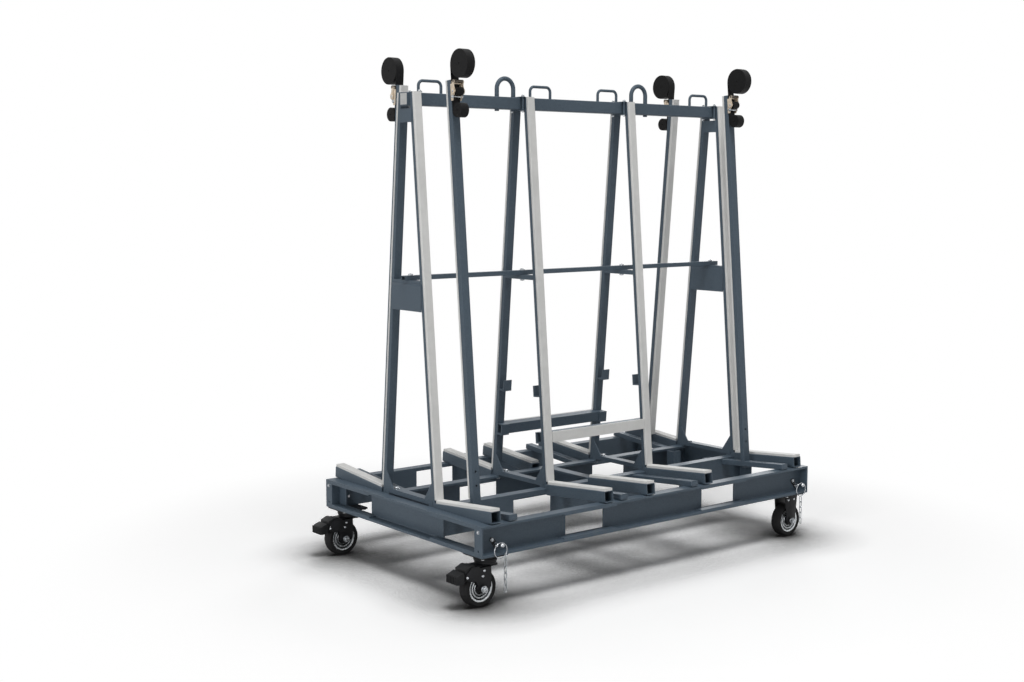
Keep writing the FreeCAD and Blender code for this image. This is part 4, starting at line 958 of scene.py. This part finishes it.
def lever_grip():
    outline = [(r, -a) for r, a in GRIP_END]
    for step in range(GROOVE_COUNT):
        y = (step - (GROOVE_COUNT - 1) / 2) * GROOVE_STEP
        outline += [(GRIP_RIDGE, y - GROOVE_TOP), (GRIP_GROOVE, y - GROOVE_FLOOR),
                    (GRIP_GROOVE, y + GROOVE_FLOOR), (GRIP_RIDGE, y + GROOVE_TOP)]
    outline += reversed(GRIP_END)
    return moved(turned("grip", outline, 28, False), shifted(*GRIP_SPOT))


def ratchets():
    plates = ratchet_plates()
    pins = ratchet_pins()
    lever = ratchet_lever()
    grip = lever_grip()
    for end, hand in CORNERS:
        tag = "%s_%s" % (end, hand)
        place = leaning(POST_X[hand], end)
        body, node = "post_" + tag, "ratchet_" + tag
        dressed(again(plates, "ratchet_cheeks_" + tag, place), YELLOW_ZINC, body, "ratchet_zinc", node)
        dressed(again(pins, "ratchet_pins_" + tag, place), ZINC, body, "bright_zinc", node)
        body, node = "handle_" + tag, "ratchet_handle_" + tag
        dressed(again(lever, "ratchet_lever_" + tag, place), YELLOW_ZINC, body, "ratchet_zinc", node)
        dressed(again(grip, "lever_grip_" + tag, place), GRIP, body, "ratchet_grip", node)
    put_away(plates, pins, lever, grip)


# Chains on the left-hand pull pins, hung from the side of the ring clear of the turned pedal; millimetres
LINK_BEND = 5.8
LINK_ROD = 2.3
LINK_HALF = 9.5
LINK_PITCH = 26
LINK_COUNT = 6
LEVEL_WITHIN = 0.0001
RING_SIDE = 24.5
CHAIN_Y = -604
CHAIN_Z = 206.6


def chains():
    fresh()
    bpy.ops.mesh.primitive_torus_add(major_radius=LINK_BEND * MM, minor_radius=LINK_ROD * MM,
                                     major_segments=28, minor_segments=10)
    link = bpy.context.active_object
    moved(link, TO_TOP)
    bpy.ops.object.mode_set(mode="EDIT")
    for way in (-1, 1):
        bpy.ops.mesh.select_all(action="DESELECT")
        bpy.ops.object.mode_set(mode="OBJECT")
        for vertex in link.data.vertices:
            vertex.select = vertex.co.z * way > LEVEL_WITHIN * MM
        bpy.ops.object.mode_set(mode="EDIT")
        bpy.ops.transform.translate(value=(0, 0, way * LINK_HALF * MM))
    closed(link)
    links = []
    for step in range(LINK_COUNT):
        turn = TO_RIGHT if step % 2 == 0 else Matrix()
        links.append(again(link, "link", shifted(0, 0, -LINK_PITCH * step) @ turn))
    put_away(link)
    chain = joined("chain", links)
    for end in ENDS:
        place = sided(at(-CASTER_X + PIN_SHIFT + RING_SIDE, CHAIN_Y, CHAIN_Z), end)
        tag = end + "_left"
        dressed(again(chain, "pull_pin_chain_" + tag, place), CHAIN_STEEL, "pin_" + tag, "bright_zinc")
    put_away(chain)


frame_fasteners()
closures()
chains()
wheels()
swivel_casters()
rigid_casters()
pedals()
caster_seats()
straps()
ratchets()


# Camera at the photograph's viewing angle, in metres and degrees
CAMERA_SPOT = (-4.3085, -5.0108, 1.7125)
CAMERA_FALL = 6.318
CAMERA_TURN = -38.507
CAMERA_REACH = 100
LENS_LENGTH = 49.65
LENS_SENSOR = 36


def camera():
    lens = bpy.data.cameras.new("photo_camera")
    lens.sensor_width = LENS_SENSOR
    lens.lens = LENS_LENGTH
    lens.clip_end = CAMERA_REACH
    made = bpy.data.objects.new("photo_camera", lens)
    bpy.context.scene.collection.objects.link(made)
    made.location = CAMERA_SPOT
    made.rotation_euler = (math.radians(90 - CAMERA_FALL), 0, math.radians(CAMERA_TURN))
    bpy.context.scene.camera = made


# White paper floor and surround. The floor's own shadow is deepened close under the trolley,
# and from FADE_START to FADE_END, in metres from the middle, it runs out into plain white
FLOOR_SIDE = 80
SHADE_REACH = 0.4
SHADE_POWER = 3.7
SHADE_GAIN = 1.22
FLOOR_LIFT = 0.006
FADE_START = 1.5
FADE_END = 2.5
SURROUND_LIGHT = 0.16
LAMP_SIDE = 5.0
LAMPS = (
    ("key_lamp", (-2.2, -4.4, 13.6), (0, 0, 0.8), 1150),
    ("left_lamp", (-13.0, -4.0, 3.4), (0, 0, 1.0), 500),
    ("back_lamp", (11.0, 8.0, 4.0), (0, 0, 1.0), 380),
)


def looked_at(tree):
    """One where the camera looks, straight or by metal and glass, zero for light on the trolley."""
    path = add(tree, "ShaderNodeLightPath")
    seen = add(tree, "ShaderNodeMath", {0: (path, "Is Camera Ray"), 1: (path, "Is Glossy Ray")},
               operation="MAXIMUM")
    return add(tree, "ShaderNodeMath", {0: (seen, "Value"), 1: (path, "Is Transmission Ray")},
               operation="MAXIMUM")


def white_floor():
    fresh()
    bpy.ops.mesh.primitive_plane_add(size=FLOOR_SIDE)
    floor = bpy.context.active_object
    floor.name = "floor"
    paper = bpy.data.materials.new("white_floor_paper")
    paper.use_nodes = True
    tree = paper.node_tree
    tree.nodes.clear()
    sheet = add(tree, "ShaderNodeBsdfDiffuse", values={"Color": colour("#dcdcdc")})
    close = add(tree, "ShaderNodeAmbientOcclusion", values={"Distance": SHADE_REACH}, samples=8)
    deep = add(tree, "ShaderNodeMath", {0: (close, "AO")}, {1: SHADE_POWER}, operation="POWER")
    deep = add(tree, "ShaderNodeMath", {0: (deep, "Value")}, {1: SHADE_GAIN}, operation="MULTIPLY")
    shown = add(tree, "ShaderNodeBsdfDiffuse", {"Color": (deep, "Value")})
    lift = add(tree, "ShaderNodeEmission", values={"Strength": FLOOR_LIFT})
    seen = looked_at(tree)
    lit = add(tree, "ShaderNodeAddShader", {0: (shown, "BSDF"), 1: (lift, "Emission")})
    near = add(tree, "ShaderNodeMixShader", {"Fac": (seen, "Value"), 1: (sheet, "BSDF"), 2: (lit, "Shader")})
    white = add(tree, "ShaderNodeEmission", values={"Strength": 1.0})
    place = add(tree, "ShaderNodeTexCoord")
    reach = add(tree, "ShaderNodeVectorMath", {0: (place, "Object")}, operation="LENGTH")
    fade = add(tree, "ShaderNodeMapRange", {"Value": (reach, "Value")},
               {"From Min": FADE_START, "From Max": FADE_END}, interpolation_type="SMOOTHSTEP")
    away = add(tree, "ShaderNodeMath", {0: (fade, "Result"), 1: (seen, "Value")}, operation="MULTIPLY")
    mixed = add(tree, "ShaderNodeMixShader",
                {"Fac": (away, "Value"), 1: (near, "Shader"), 2: (white, "Emission")})
    add(tree, "ShaderNodeOutputMaterial", {"Surface": (mixed, "Shader")})
    floor.data.materials.append(paper)


def white_surround():
    world = bpy.data.worlds.new("white_surround")
    bpy.context.scene.world = world
    world.use_nodes = True
    tree = world.node_tree
    tree.nodes.clear()
    seen = looked_at(tree)
    soft = add(tree, "ShaderNodeBackground", values={"Strength": SURROUND_LIGHT, "Color": colour("#ffffff")})
    white = add(tree, "ShaderNodeBackground", values={"Strength": 1.0, "Color": colour("#ffffff")})
    mixed = add(tree, "ShaderNodeMixShader",
                {"Fac": (seen, "Value"), 1: (soft, "Background"), 2: (white, "Background")})
    add(tree, "ShaderNodeOutputWorld", {"Surface": (mixed, "Shader")})


def lamps():
    for name, spot, aim, power in LAMPS:
        lamp = bpy.data.lights.new(name, "AREA")
        lamp.size = LAMP_SIDE
        lamp.energy = power
        made = bpy.data.objects.new(name, lamp)
        bpy.context.scene.collection.objects.link(made)
        made.location = spot
        made.rotation_euler = (Vector(aim) - Vector(spot)).to_track_quat("-Z", "Y").to_euler()


camera()
white_floor()
white_surround()
lamps()
bpy.context.scene.view_settings.view_transform = "Standard"
